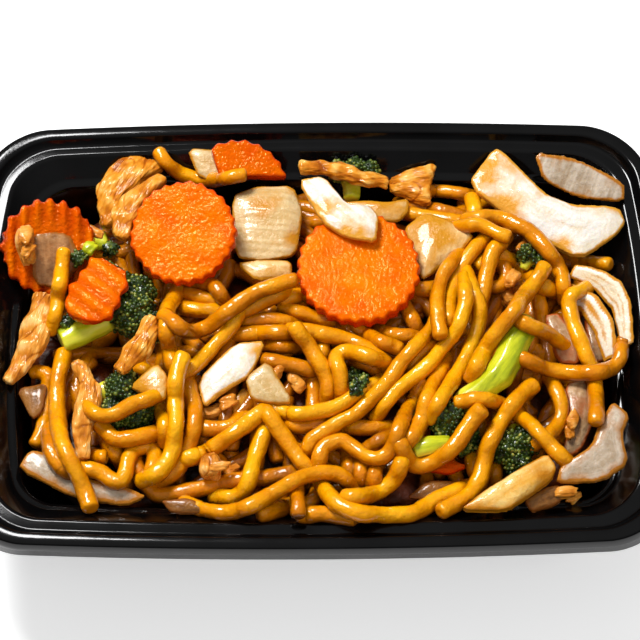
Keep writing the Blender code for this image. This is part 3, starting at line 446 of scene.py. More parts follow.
white_onion = onion_material("white_onion", "EFE8DE", "DCC8A4", "DC9A30", 0.0, 0.34)
cream_onion = onion_material("cream_onion", "DABE8C", "C6A062", "C4841E", 0.0, 0.28)
golden_onion = onion_material("golden_onion", "E6C284", "D29A48", "CC8A1C", 0.1, 0.24)
sauced_onion = onion_material("sauced_onion", "B08052", "80522C", "9A5A1C", 0.08, 0.2)
rosy_onion = onion_material("rosy_onion", "C6A47C", "946A40", "B8561A", 0.06, 0.24)
layered_onion = onion_material("layered_onion", "F0E4CC", "DCC090", "D08A20", -0.02, 0.26)
pearl_onion = onion_material("pearl_onion", "CEBDA8", "A68E72", "B4701C", 0.02, 0.22)
amber_onion = onion_material("amber_onion", "F6CE7C", "E6A840", "CC8216", 0.0, 0.24)
brown_onion = onion_material("brown_onion", "94622C", "5C3814", "8A4E1C", 0.04, 0.2)
# Each piece: its material, how far it buckles in mm, how much wider it swells than its solid, and which way its
# lines run, 0 lengthwise and 1 across.
ONIONS = {
    "onion_front_left": (pearl_onion, 0.5, 1.12, 0), "onion_left_low": (brown_onion, 0.5, 1.0, 0),
    "onion_front_low": (brown_onion, 0.4, 1.0, 0), "onion_front_small": (brown_onion, 0.4, 1.1, 0),
    "onion_front_right_low": (brown_onion, 0.4, 1.1, 0), "onion_right_upper": (rosy_onion, 0.4, 1.35, 0),
    "onion_right_outer": (rosy_onion, 0.4, 1.35, 0), "onion_right_lower": (rosy_onion, 0.4, 1.35, 0),
    "onion_on_carrot": (sauced_onion, 0.5, 1.3, 0), "onion_back_left": (cream_onion, 0.4, 1.0, 0),
    "onion_back_middle": (golden_onion, 0.5, 1.1, 0), "onion_fan": (golden_onion, 0.6, 1.1, 0),
    "onion_far_right_back": (pearl_onion, 0.4, 1.05, 1), "onion_far_right": (white_onion, 0.6, 1.0, 0),
    "onion_curved_outer": (layered_onion, 0.3, 1.25, 0), "onion_curved_inner": (layered_onion, 0.3, 1.6, 0),
    "onion_lower_right": (pearl_onion, 0.5, 1.12, 0), "onion_front_right": (amber_onion, 0.4, 1.05, 0),
    "onion_broad": (cream_onion, 0.5, 1.05, 1), "onion_strip_middle": (golden_onion, 0.4, 1.1, 0),
    "onion_folded": (white_onion, 0.5, 1.0, 0), "onion_middle_white": (white_onion, 0.4, 1.1, 0),
    "onion_middle_square": (cream_onion, 0.4, 1.1, 0), "onion_pale_green": (golden_onion, 0.4, 1.1, 0),
}
# Where the sauce has soaked in: place in the photograph's pixels, reach in millimetres.
SOAKED = {
    "onion_far_right": ((470, 180, 22.0), (490, 162, 14.0), (500, 208, 15.0), (560, 248, 6.0), (618, 208, 5.0)),
    "onion_broad": ((265, 206, 7.0), (230, 186, 5.0), (299, 187, 5.0), (296, 240, 5.0)),
    "onion_folded": ((345, 232, 10.0), (322, 210, 7.0), (362, 232, 8.0)),
    "onion_middle_white": ((256, 352, 5.0),),
    "onion_fan": ((426, 224, 11.0), (440, 240, 7.0)),
    "onion_back_middle": ((385, 197, 10.0),),
    "onion_front_right": ((548, 482, 6.0), (480, 512, 7.0)),
    "onion_pale_green": ((140, 388, 5.0),),
}
# Petals whose lines follow their curved side, and how close these lie.
CURVED = {
    "onion_curved_outer": 1.6, "onion_curved_inner": 1.6, "onion_far_right": 0.7, "onion_lower_right": 1.2,
}
LAYER_SPACING = 1.7
# How wide the sauce has stained a piece along its rim, in mm.
STAINED_RIM = {
    "onion_lower_right": 3.8, "onion_far_right": 1.4, "onion_far_right_back": 2.0, "onion_front_left": 3.2,
    "onion_folded": 1.5, "onion_broad": 1.2, "onion_middle_white": 1.7, "onion_back_left": 1.6,
    "onion_strip_middle": 1.2, "onion_curved_inner": 1.3,
}
toppings = []
for number, (name, (leaf_material, bend, swell, turned)) in enumerate(ONIONS.items()):
    mesh, points, normals = fine_copy(name, 0.5, 6)
    middle, axes = grain_axes(points)
    local = (points - middle) @ axes
    rim = rim_distance(points, normals, axes[:, 2])
    lined = local[:, (1, 0, 2)] if turned else local
    if name in CURVED:
        lined = np.column_stack((local[:, 0], rim * CURVED[name], local[:, 2]))
    buckle = waves(points, 17.0, number) * bend + waves(points, 7.0, number + 50) * bend * 0.35
    ribs = np.sin(lined[:, 1] * math.tau / 2.3 + waves(points, 9.0, number + 90) * 2) * 0.03
    widen = (swell - 1) * local[:, 1, None] * axes[:, 1]
    thin_rim = -0.45 * np.exp(-rim / 1.0)
    points = points + axes[:, 2] * buckle[:, None] + normals * (ribs + thin_rim)[:, None] + widen
    soak = np.zeros(len(points))
    for x, y, reach in SOAKED.get(name, ()):
        spot = from_photo([(x, y)], np.array([middle[2]]))[0]
        soak = np.maximum(soak, np.clip(1 - np.hypot(*(points[:, :2] - spot).T) / reach, 0.0, 1.0))
    soak = np.maximum(soak, np.clip(1 - rim / STAINED_RIM.get(name, 0.1), 0.0, 1.0) * 0.8)
    if leaf_material is layered_onion:
        layers = np.cos(rim * math.tau / LAYER_SPACING + math.pi)
        soak = np.maximum(soak, np.clip(1.3 * layers - 0.3, 0.0, 0.55))
    slot = "onion" if leaf_material in (white_onion, pearl_onion) else "onion_sauced"
    toppings.append(finish_piece(mesh, name, points, leaf_material, slot, grain=lined * MM, rim=rim, soak=soak))

# ---- Carrot ----------------------------------------------------------------------------------------------
# Slices of carrot cut with a fluted knife, blanched and fried: a bright flat face, a redder scalloped rim.
carrot_flesh, tree, shader, place = blank_material(
    "fried_carrot", 0.1, ior=1.42, Subsurface_Weight=0.04, Subsurface_Radius=(1.0, 0.35, 0.1),
    Subsurface_Scale=0.0012, Specular_IOR_Level=0.55, Specular_Tint=(1.0, 0.55, 0.16, 1.0))
flesh = colours(tree, noise(tree, place, 130.0, 3.0), (0.3, "E85800"), (0.7, "F07A00"))
rimmed = tinted(tree, ranged(tree, stored(tree, "rim"), 0.1, 1.3, 1.0, 0.0), flesh, "D43800")
# Each piece is drawn darker and redder by its own amount, with painted shade in the flute grooves.
wire(tree, shader, Base_Color=tinted(tree, stored(tree, "deep"), rimmed, "A83000"),
     Normal=bumped(tree, noise(tree, place, 800.0, 2.0), 1.0, 0.0006))

# Pieces with the knife's flutes across them: the direction across the flutes in degrees, their spacing and
# depth in mm, and how far they reach in from the rim, 0 for right across.
RIBBED = {"carrot_chunk": (48.0, 5.6, 0.5, 0.0), "carrot_left": (0.0, 4.2, 0.6, 7.0)}
# How much darker and redder each piece is drawn.
DEPTHS = {"carrot_left": 0.5, "carrot_back": 0.35, "carrot_chunk": 0.2, "carrot_front": 0.6}
CARROTS = ("carrot_left", "carrot_back", "carrot_upper_left", "carrot_middle", "carrot_chunk", "carrot_front")
for number, name in enumerate(CARROTS):
    mesh, points, normals = fine_copy(name, 0.5, 4)
    middle, axes = grain_axes(points)
    rim = rim_distance(points, normals, axes[:, 2])
    rough = waves(points, 1.7, number + 200) * 0.06 + waves(points, 9.0, number + 220) * 0.3
    flute = np.zeros(len(points))
    if name in RIBBED:
        heading, spacing, depth, near_rim = RIBBED[name]
        way = (math.cos(math.radians(heading)), math.sin(math.radians(heading)))
        flute = np.sin((points[:, :2] - middle[:2]) @ way * math.tau / spacing)
        if near_rim:
            flute *= np.clip(1.4 - rim / near_rim, 0.0, 1.0)
        rough += flute * depth
    points = points + normals * rough[:, None]
    # Painted shade: the grooves between the flutes are drawn darker.
    deep = np.clip(DEPTHS.get(name, 0.0) - flute * 0.3, 0.0, 1.0)
    toppings.append(finish_piece(mesh, name, points, carrot_flesh, "carrot", rim=rim, deep=deep))

# ---- Chicken ---------------------------------------------------------------------------------------------
# Strips of chicken breast, browned and coated with sauce: fibres lengthwise, torn ends, a wet glaze.
def chicken_material(name, deep, mid, light, edge):
    """Fried chicken breast in sauce, with painted shade darker in its creases, painted light on its raised
    lumps, and fine fibres.
    """
    made, tree, shader, place = blank_material(
        name, 0.3, ior=1.42, Subsurface_Weight=0.12, Subsurface_Radius=(1.0, 0.5, 0.25), Subsurface_Scale=0.001,
        Specular_IOR_Level=0.3, Specular_Tint=(1.0, 0.75, 0.4, 1.0), Coat_Weight=0.35, Coat_Roughness=0.07)
    fibres = noise(tree, stretched(tree, stored(tree, "grain", "Vector"), 0.25), 700.0, 2.5)
    # Painted shade and light: the stored relief darkens the creases and lightens the raised lumps.
    depth = maths(tree, "ADD", stored(tree, "relief"), noise(tree, place, 200.0, 5.0))
    flesh = colours(tree, depth, (0.2, deep), (0.42, mid), (0.56, light), (0.75, edge))
    fibrous = bumped(tree, fibres, 0.9, 0.0011)
    wire(tree, shader, Base_Color=flesh, Normal=fibrous, Coat_Normal=fibrous)
    return made


browned_chicken = chicken_material("browned_chicken", "984A04", "C87414", "DC8E26", "EAB45A")
pale_chicken = chicken_material("pale_chicken", "985008", "CC7A20", "E4983A", "F2BE70")
CHICKEN = ("chicken_left", "chicken_lower_left", "chicken_middle_left", "chicken_bit_left", "chicken_back_left",
           "chicken_upper_left", "chicken_back_middle", "chicken_back_right", "chicken_cube")
SMOOTHER = {"chicken_back_middle": 30, "chicken_upper_left": 22, "chicken_cube": 20}
PALE_CHICKEN = ("chicken_left", "chicken_lower_left", "chicken_bit_left", "chicken_cube")
for number, name in enumerate(CHICKEN):
    mesh, points, normals = fine_copy(name, 0.4, SMOOTHER.get(name, 10))
    middle, axes = grain_axes(points)
    local = (points - middle) @ axes
    strands = waves(local * (0.3, 1.0, 1.0), 1.5, number + 300)
    threads = waves(local * (0.25, 1.0, 1.0), 0.9, number + 310)
    lumps = waves(points, 6.0, number + 320)
    creases = np.minimum(np.abs(waves(local * (0.45, 1.0, 1.0), 7.5, number + 330)), 0.14) / 0.14
    bumps = strands * 0.1 + threads * 0.1 + lumps * 0.5 + creases * 0.13 - 0.13
    points = points + normals * bumps[:, None]
    # Painted shade in the creases and painted light on the raised lumps, for the material's colour.
    relief = np.clip((creases - 0.9) * 0.3 + strands * 0.05 + lumps * 0.12, -0.35, 0.25)
    meat = pale_chicken if name in PALE_CHICKEN else browned_chicken
    toppings.append(finish_piece(mesh, name, points, meat, "chicken", grain=local * MM, relief=relief))

# ---- Broccoli --------------------------------------------------------------------------------------------
# Florets and bits of stem, fried until bright: smooth yellow-green stems, dark crowns of tiny closed buds.
stem_flesh, tree, shader, place = blank_material(
    "broccoli_stem", 0.28, ior=1.42, Subsurface_Weight=0.2, Subsurface_Radius=(0.7, 1.0, 0.2),
    Subsurface_Scale=0.001, Coat_Weight=0.6, Coat_Roughness=0.08)
veins = noise(tree, stretched(tree, stored(tree, "grain", "Vector"), 0.2), 170.0, 5.0, 0.6)
skin = colours(tree, veins, (0.34, "7C8E06"), (0.5, "CCD01A"), (0.64, "EAE244"))
wire(tree, shader, Base_Color=tinted(tree, stored(tree, "crown"), skin, "26380C"),
     Normal=bumped(tree, veins, 0.6, 0.0008))

# The buds are 1 to 2 mm wide, drawn a little coarser than life so that each one shows.
bud_green, tree, shader, place = blank_material(
    "broccoli_buds", 0.4, ior=1.42, Coat_Weight=0.3, Coat_Roughness=0.15)
tones = noise(tree, place, 420.0, 3.0)
wire(tree, shader, Base_Color=colours(
    tree, tones, (0.36, "121E06"), (0.48, "2A4210"), (0.58, "5E7020"), (0.68, "B0A848")))

# Each floret: the lumps of its crown seen from above, as place and radius in mm. The stem has none.
FLORETS = {
    "broccoli_left": ((-58, 7, 8.0), (-64, 17, 7.0), (-57, 15, 6.0), (-51, 3, 5.0), (-67, 23, 3.5)),
    "broccoli_lower_left": ((-60, -20, 6.0), (-56, -28, 6.0), (-63, -29, 5.0)),
    "broccoli_back": ((8, 59, 3.6), (13, 60, 4.2), (18, 59, 3.6)),
    "broccoli_right": ((41, -33, 6.0), (36, -30, 4.0), (46, -38, 5.0)),
    "broccoli_right_front": ((59, -41, 5.2), (65, -39, 5.2), (63, -45, 4.6)),
    "broccoli_small": ((68, 27, 3.4), (72, 25, 3.0)),
    "broccoli_stem": (),
}
BUD_SPACING = 1.15
BUD_RADIUS = 0.75
BUD_SEED = 4
CROWN_SHARE = 0.55


def bud_tree():
    """Sets closed buds over the part of a surface that the crown value marks."""
    group = bpy.data.node_groups.new("closed_buds", "GeometryNodeTree")
    group.interface.new_socket("Surface", in_out="INPUT", socket_type="NodeSocketGeometry")
    for label, start in (("Spacing", BUD_SPACING * MM), ("Bud radius", BUD_RADIUS * MM)):
        group.interface.new_socket(label, in_out="INPUT", socket_type="NodeSocketFloat").default_value = start
    group.interface.new_socket("Buds", in_out="OUTPUT", socket_type="NodeSocketGeometry")
    enter = node(group, "NodeGroupInput")
    marked = node(group, "GeometryNodeInputNamedAttribute", {"Name": "crown"}, data_type="FLOAT")
    chosen = node(group, "FunctionNodeCompare", {
        0: marked.outputs["Attribute"], 1: CROWN_SHARE}, operation="GREATER_THAN")
    spread = node(group, "GeometryNodeDistributePointsOnFaces", {
        "Mesh": enter.outputs["Surface"], "Distance Min": enter.outputs["Spacing"], "Density Max": 3.0e6,
        "Selection": chosen.outputs["Result"], "Seed": BUD_SEED}, distribute_method="POISSON")
    bud = node(group, "GeometryNodeMeshIcoSphere", {"Radius": enter.outputs["Bud radius"], "Subdivisions": 1})
    sizes = node(group, "FunctionNodeRandomValue", {2: 0.65, 3: 1.2, "Seed": BUD_SEED})
    placed = node(group, "GeometryNodeInstanceOnPoints", {
        "Points": spread.outputs["Points"], "Instance": bud.outputs["Mesh"],
        "Rotation": spread.outputs["Rotation"], "Scale": sizes.outputs[1]})
    real = node(group, "GeometryNodeRealizeInstances", {"Geometry": placed.outputs["Instances"]})
    soft = node(group, "GeometryNodeSetShadeSmooth", {"Geometry": real.outputs["Geometry"]})
    dyed = node(group, "GeometryNodeSetMaterial", {
        "Geometry": soft.outputs["Geometry"], "Material": bud_green})
    node(group, "NodeGroupOutput", {"Buds": dyed.outputs["Geometry"]})
    return group


def grown(source, group, name):
    """The plain mesh that a node tree makes of an object."""
    growth = source.modifiers.new("growth", "NODES")
    growth.node_group = group
    bpy.context.view_layer.update()
    mesh = bpy.data.meshes.new_from_object(source.evaluated_get(bpy.context.evaluated_depsgraph_get()))
    source.modifiers.remove(growth)
    return new_object(name, mesh)


buds = bud_tree()
for number, (name, lumps) in enumerate(FLORETS.items()):
    mesh, points, normals = fine_copy(name, 0.5, 24)
    middle, axes = grain_axes(points)
    local = (points - middle) @ axes
    crown = np.zeros(len(points))
    for x, y, radius in lumps:
        near = np.hypot(points[:, 0] - x, points[:, 1] - y)
        crown = np.maximum(crown, np.clip((radius + 0.6 - near) / 1.2, 0.0, 1.0))
    lobes = waves(points, 4.0, number + 400) * 0.8
    dents = waves(points, 8.0, number + 420) * 0.25
    swell = lobes * crown + dents * (1 - crown)
    points = points + normals * swell[:, None]
    stem = finish_piece(mesh, name, points, stem_flesh, "broccoli", grain=local * MM, crown=crown)
    toppings.append(stem)
    if lumps:
        crown_buds = grown(stem, buds, "buds_" + name)
        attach(crown_buds, "root")

# ---- Sauce bed -------------------------------------------------------------------------------------------
# Under the noodles that show lie more noodles in dark soy sauce. Only a near-black sauce surface is seen through
# the gaps: the sauce's own colour, and painted shade of the gaps low in the heap.
# Each hollow is a place, a reach and a depth in mm.
CORE_CORNER_RADIUS = 30.0
CORE_SECTION = ((24.2, 1.5), (21.6, 5.5), (20.2, 20.0), (20.6, 26.0))
CORE_EDGE_HEIGHT = 34.0
CORE_MIDDLE_HEIGHT = 42.0
CORE_HOLLOWS = (
    (-59.0, 10.0, 17.0, 13.0), (-86.0, 24.0, 14.0, 5.0), (-60.0, -24.0, 11.0, 8.0), (41.0, -35.0, 9.0, 7.0),
    (62.0, -40.0, 9.0, 7.0), (13.0, 58.0, 9.0, 5.0), (-20.0, 40.0, 20.0, 2.5),
)
BED_DEPTH = 7.0


def core_height(x, y):
    """The height of the bare heap under each point."""
    fx = np.minimum(np.abs(x) / (HALF_LENGTH - 14.0), 1.0)
    fy = np.minimum(np.abs(y) / (HALF_WIDTH - 14.0), 1.0)
    height = CORE_EDGE_HEIGHT + (CORE_MIDDLE_HEIGHT - CORE_EDGE_HEIGHT) * (1 - fx**2.5) * (1 - fy**2.5)
    for cx, cy, reach, depth in CORE_HOLLOWS:
        height = height - depth * np.exp(-((x - cx) ** 2 + (y - cy) ** 2) / reach**2)
    return height


# Reduced soy sauce: dark brown, red where it is thin, kept near black as painted shade of the gaps between the
# noodles.
sauce_and_gap_shade, tree, shader, place = blank_material(
    "soy_sauce_and_gap_shade", 0.4, ior=1.4, Coat_Weight=0.15, Coat_Roughness=0.15)
pools = noise(tree, place, 120.0, 4.0)
wire(tree, shader, Base_Color=colours(tree, pools, (0.35, "200A01"), (0.7, "6A2A04")),
     Normal=bumped(tree, pools, 0.8, 0.003))

points, ring_starts = [], []
for inset, height in CORE_SECTION:
    ring = tray_outline(inset, CORE_CORNER_RADIUS)
    ring_starts.append(len(points))
    points += [(x, y, height) for x, y in ring]
for share in np.linspace(0.97, 0.03, 32):
    ring_starts.append(len(points))
    for x, y in ring:
        points.append((x * share, y * share, core_height(x * share, y * share) - BED_DEPTH))
faces = ring_faces(ring_starts, ring_size)
cap(points, faces, ring_starts[0], ring_size, CORE_SECTION[0][1])
cap(points, faces, ring_starts[-1], ring_size, CORE_MIDDLE_HEIGHT - BED_DEPTH)
sauce_and_shade_bed = new_piece("sauce_and_shade_bed", points, faces, sauce_and_gap_shade)
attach(sauce_and_shade_bed, "root")
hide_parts("noodle_heap")

# ---- Noodles ---------------------------------------------------------------------------------------------
# Thick wheat noodles about 5 mm across, tossed in sauce: glossy, golden to amber, over and under each other.
# Each route is the centre line of a noodle in the photograph, in pixels. Its first number is the order in
# which it is laid, lowest first. The letters say how its two ends finish: c for cut and in view, u for tucked
# under. "over" marks one that lies on the pieces of onion, carrot and broccoli that it crosses.
NOODLE_RADIUS = 2.5
ROUTES = {
    "left_arm": (4, "uc", "over", (62, 362), (58, 380), (57, 400), (58, 420), (61, 440), (70, 460), (80, 480),
        (88, 500), (91, 510)),
    "left_back_arm": (2, "cc", "", (29, 374), (38, 372), (49, 377), (47, 390), (46, 405), (44, 422),
        (40, 435), (34, 447)),
    "left_short": (2, "uu", "over", (49, 438), (51, 452), (58, 463), (68, 472)),
    "left_wave": (3, "uu", "over", (84, 469), (97, 471), (107, 477), (115, 482), (122, 480), (126, 470),
        (128, 460), (134, 450), (143, 447), (150, 448), (155, 456), (153, 468), (150, 476)),
    "left_pillar": (6, "cu", "over", (184, 353), (178, 370), (175, 390), (175.5, 410), (176, 425), (174, 440),
        (172, 452), (166, 464), (157, 474), (150, 477)),
    "front_left_sweep": (2, "uu", "", (137, 464), (141, 476), (149, 487), (160, 494.5), (180, 493.5),
        (200, 489), (220, 484), (240, 480), (262, 479), (280, 476), (297, 471)),
    "left_pillar_twin": (4, "uu", "", (188, 380), (190, 392), (195, 410), (194, 428), (190, 442), (184, 458),
        (176, 470), (165, 478)),
    "by_left_crown": (5, "uu", "over", (173, 300), (167, 311), (166, 330), (169, 350), (174, 366)),
    "by_green_onion": (4, "uu", "", (155, 398), (162, 410), (165, 423), (165, 434)),
    "left_cross": (4, "uu", "over", (92, 411), (98, 415), (107, 416), (118, 413), (131, 405), (143, 401),
        (150, 398)),
    "left_low_cross": (3, "uu", "over", (106, 431), (115, 439), (129, 439), (145, 436), (159, 432)),
    "left_deep": (0, "uu", "", (104, 440), (113, 450), (120, 460)),
    "left_end": (1, "uc", "", (88, 458), (98, 457), (107, 457)),
    "under_left_crown": (1, "uu", "", (130, 370), (141, 369), (150, 374)),
    "by_left_carrot": (6, "cu", "over", (64, 248), (62, 268), (59, 290), (57, 308), (53, 322)),
    "back_left_curve": (7, "cc", "over", (158, 150), (164, 160), (176, 171), (190, 177), (205, 179.5),
        (222, 179), (236, 176), (247, 175)),
    "shallow_wave": (5, "uc", "over", (173, 322), (187, 332), (200, 330), (209, 326), (223, 315), (237, 305),
        (255, 293), (271, 287), (289, 281), (298, 279)),
    "behind_wave": (2, "uu", "", (200, 285), (212, 286), (219, 292), (225, 302)),
    "under_wave": (2, "uu", "", (180, 307), (190, 309), (204, 311), (217, 311)),
    "reddish_back": (1, "uu", "", (183, 293), (200, 297), (216, 302)),
    "over_white_onion": (4, "uu", "over", (237, 317), (230, 330), (218, 342), (206, 355), (195, 366),
        (187, 371)),
    "under_carrot_a": (3, "uu", "", (245, 311), (258, 304), (270, 298), (282, 293)),
    "under_carrot_b": (2, "cu", "", (278, 302), (292, 297), (306, 295), (318, 295)),
    "under_carrot_c": (2, "uu", "", (292, 310), (303, 313), (313, 317), (335, 322)),
    "middle_band_a": (2, "uu", "", (240, 322), (258, 320), (275, 320), (290, 323)),
    "middle_band_b": (2, "uu", "", (238, 335), (258, 333), (275, 332.5), (289, 333)),
    "middle_diagonal": (3, "uu", "", (300, 331), (312, 332), (334, 336.5), (351, 341), (366, 348.5),
        (379, 358), (387, 366)),
    "middle_fall": (3, "cu", "", (292, 325), (304, 339), (314.5, 355.5), (324, 371), (328, 383), (328, 395)),
    "middle_low": (1, "uu", "", (261, 360), (280, 363), (298, 367), (313, 371)),
    "middle_deep": (0, "uu", "", (272, 346), (290, 347)),
    "middle_arch": (4, "uu", "", (342, 395), (341, 382), (339, 370), (336, 360), (341, 353), (352, 352),
        (364, 355), (376, 359)),
    "inner_arch": (2, "uu", "", (357, 362), (368, 365), (378, 372)),
    "short_upright": (1, "uu", "", (323, 343), (323, 357)),
    "middle_cut": (4, "uc", "", (352, 325), (360, 330), (375, 339), (391, 346), (403, 351)),
    "dull_a": (1, "uu", "", (385, 333), (400, 336), (412, 337)),
    "dull_b": (2, "uu", "", (408, 368), (420, 354), (433, 343)),
    "behind_carrot": (2, "uu", "", (408, 288), (420, 289), (434, 289)),
    "brown_gap": (0, "uu", "", (403, 302), (410, 315), (416, 327)),
    "long_left_diagonal": (5, "uu", "", (307, 452), (312, 440), (325, 431), (340, 422), (355, 414),
        (366, 404), (378, 392), (390, 379), (400, 364), (410, 352), (421, 340), (432, 328), (438, 316)),
    "under_diagonal": (4, "uu", "", (262, 402), (272, 408), (285, 412.5), (300, 414), (315, 412), (330, 409),
        (345, 402), (358, 393), (370, 386), (379, 381)),
    "deep_diagonal": (1, "uu", "", (288, 424), (300, 427), (312, 426), (325, 421)),
    "gap_cross": (1, "uu", "", (350, 427), (370, 428), (392, 428)),
    "gap_short": (1, "uu", "", (373, 446), (381, 441), (389, 438)),
    "front_bundle_outer": (5, "uu", "", (262, 405), (272, 420.5), (285, 439), (297, 456.5), (307, 468.5)),
    "front_bundle_cross": (4, "uu", "", (268, 406), (258, 415), (244, 426), (223, 441), (206, 452),
        (192, 457)),
    "front_bundle_inner": (3, "uu", "", (200, 428), (215, 429), (230, 427), (240, 421)),
    "front_bundle_fall": (4, "uu", "", (266, 428), (261, 440), (256, 455), (252, 468), (248.5, 482),
        (243, 492), (232, 498), (223, 497)),
    "front_lip": (8, "uu", "", (190, 505), (203, 510), (218, 513), (235, 511), (250, 506), (262, 500),
        (275, 492), (290, 483), (303, 477), (318, 473), (330, 473), (341, 476), (349, 483)),
    "front_edge": (4, "uu", "over", (323, 487), (331, 498), (342, 507), (358, 513), (375, 514.5), (395, 515),
        (410, 514), (422, 509), (433, 502), (445, 496), (460, 490)),
    "front_loop": (8, "uu", "", (356, 497), (363, 496.5), (370, 495), (382, 490), (392, 482), (399, 470),
        (403, 458)),
    "front_hook": (7, "uu", "", (319, 462), (321, 452), (327, 445), (342, 441), (355, 449), (366, 456),
        (376, 459), (385, 456), (393, 446), (399, 429), (405.5, 414.5), (413, 401), (418, 390)),
    "over_front_ledge": (2, "uc", "", (296, 484), (297, 495), (298, 506), (298, 518)),
    "front_dark_a": (0, "cu", "", (257, 515), (270, 512), (288, 506)),
    "front_dark_b": (0, "uu", "", (307, 505), (315, 497), (318, 485)),
    "front_dark_c": (0, "uu", "", (308, 515), (325, 514), (345, 517)),
    "hook_hole_a": (0, "uu", "", (348, 463), (352, 478)),
    "hook_hole_b": (0, "uu", "", (361, 466), (361, 487)),
    "hook_hole_c": (0, "uu", "", (376, 468), (373, 485)),
    "long_right_diagonal": (6, "uu", "", (381, 411), (393, 394), (409, 381), (427, 366), (438, 353),
        (448, 341), (457, 329), (463, 312), (466, 300), (465, 288)),
    "short_top": (7, "uc", "over", (453, 261), (446, 270), (440, 283), (437, 300), (438, 319), (441, 339)),
    "second_top": (5, "uu", "over", (449, 326), (450, 300), (455, 283), (463, 265), (475, 248), (488, 236)),
    "end_on_blob": (3, "uc", "", (488, 258), (480, 266), (476, 270)),
    "third_top": (5, "uu", "over", (502, 241), (492, 254), (487, 271), (484, 287), (481, 300), (479, 312)),
    "small_ring": (2, "uu", "", (496, 258), (504, 268), (506, 279), (498, 287), (486, 287)),
    "right_cross": (3, "uu", "", (500, 255), (517, 264), (529, 275), (541, 286), (553, 291), (568, 300)),
    "brown_glossy": (1, "uu", "", (430, 191), (450, 192), (470, 196)),
    "back_band_a": (2, "uu", "", (408, 205), (430, 209), (450, 213), (472, 219)),
    "back_band_b": (2, "uu", "", (405, 213), (425, 217), (450, 221), (470, 223)),
    "right_top_bow": (6, "uc", "over", (466, 226), (478, 224), (490, 229), (501, 235), (511, 238)),
    "right_long_bow": (5, "uu", "over", (475, 219), (487, 217), (503, 219), (517, 225), (529, 231),
        (539, 241), (550, 254), (557, 264), (562, 278), (564, 292)),
    "short_by_onion": (3, "cu", "", (471, 196), (474, 208), (476, 218)),
    "right_diagonal": (6, "cu", "over", (546, 264), (538, 278), (530, 289), (521, 300), (512, 314),
        (500, 328), (490, 342), (482, 356), (475, 370)),
    "yellow_curve": (5, "uu", "over", (468, 278), (473, 292), (479, 304), (480, 318), (474, 339), (464, 362),
        (452, 382), (442, 397), (434, 411)),
    "yellow_left": (4, "uu", "over", (442, 368), (434, 384), (427, 400), (422, 418), (414, 434), (406, 444)),
    "under_right_diagonal": (2, "uu", "", (537, 292), (540, 305), (542, 318), (545, 330)),
    "right_arch": (6, "uu", "over", (578, 292), (572, 295), (569, 303), (571, 316), (576, 331), (583, 347),
        (589, 362)),
    "right_hoop": (6, "uu", "over", (530, 362), (541, 367), (557, 371), (575, 373), (595, 372.5), (610, 369),
        (619, 361), (621, 350)),
    "hanging_end": (4, "uc", "over", (594, 376), (596, 400), (596, 425)),
    "right_inner_hook": (5, "uu", "over", (553, 384), (559, 397), (562, 411), (558, 424), (549, 435),
        (540, 441)),
    "right_blob": (3, "uc", "", (569, 398), (571, 414), (568, 428), (565, 447)),
    "above_stem": (4, "uu", "over", (519, 321), (532, 327), (546, 333), (561, 343)),
    "front_right_long": (8, "cc", "over", (536.5, 383), (521, 395), (507, 412), (496, 430.5), (487, 449),
        (483, 466), (479, 481), (468, 496), (455, 504), (439, 513)),
    "across_stem": (6, "uu", "over", (466, 401), (478, 399), (492, 401), (505, 407), (518, 415), (530, 424),
        (542, 436), (555, 450), (562, 457)),
    "front_right_bow": (7, "cu", "over", (484, 407), (475, 417), (466, 430), (457, 443), (446, 454),
        (433, 462), (420, 466), (409, 462), (404, 452)),
    "dark_upright_a": (3, "uu", "", (480, 423), (476, 442), (473, 462), (478, 478)),
    "dark_upright_b": (3, "uu", "", (490, 440), (494, 460), (495, 480)),
    "right_wall_end": (1, "uc", "", (588, 262), (600, 263), (611, 265)),
}
CUT_TIP = ((0.0, 0.5), (0.3, 0.78), (0.8, 0.94), (1.5, 1.0))
CELL = 0.6
GRID_HALF = (108.0, 76.0)
columns, rows = (int(2 * half / CELL) for half in GRID_HALF)
NOTHING_BELOW = -99.0
NO_ROOF = 999.0
SQUEEZE = 0.7
STEEPEST_STEP = 1.1
START_HEIGHT = 44.0
LOWEST_FROM_CORE = (-3.0, -1.8, -0.8, 0.2, 1.2, 2.2, 3.0, 3.8, 4.6)
MARGIN = 0.15


def cells_at(x, y):
    """The grid cells of some places."""
    column = np.clip(((x + GRID_HALF[0]) / CELL).astype(int), 0, columns - 1)
    row = np.clip(((y + GRID_HALF[1]) / CELL).astype(int), 0, rows - 1)
    return column, row


grid_x, grid_y = np.meshgrid((np.arange(columns) + 0.5) * CELL - GRID_HALF[0],
                             (np.arange(rows) + 0.5) * CELL - GRID_HALF[1], indexing="ij")
pile_top = core_height(grid_x, grid_y) - BED_DEPTH
topping_top = np.full((columns, rows), NOTHING_BELOW)
topping_under = np.full((columns, rows), NO_ROOF)
for topping in toppings:
    co = np.empty(len(topping.data.vertices) * 3)
    topping.data.vertices.foreach_get("co", co)
    co = co.reshape(-1, 3) / MM
    here = cells_at(co[:, 0], co[:, 1])
    np.maximum.at(topping_top, here, co[:, 2])
    np.minimum.at(topping_under, here, co[:, 2])
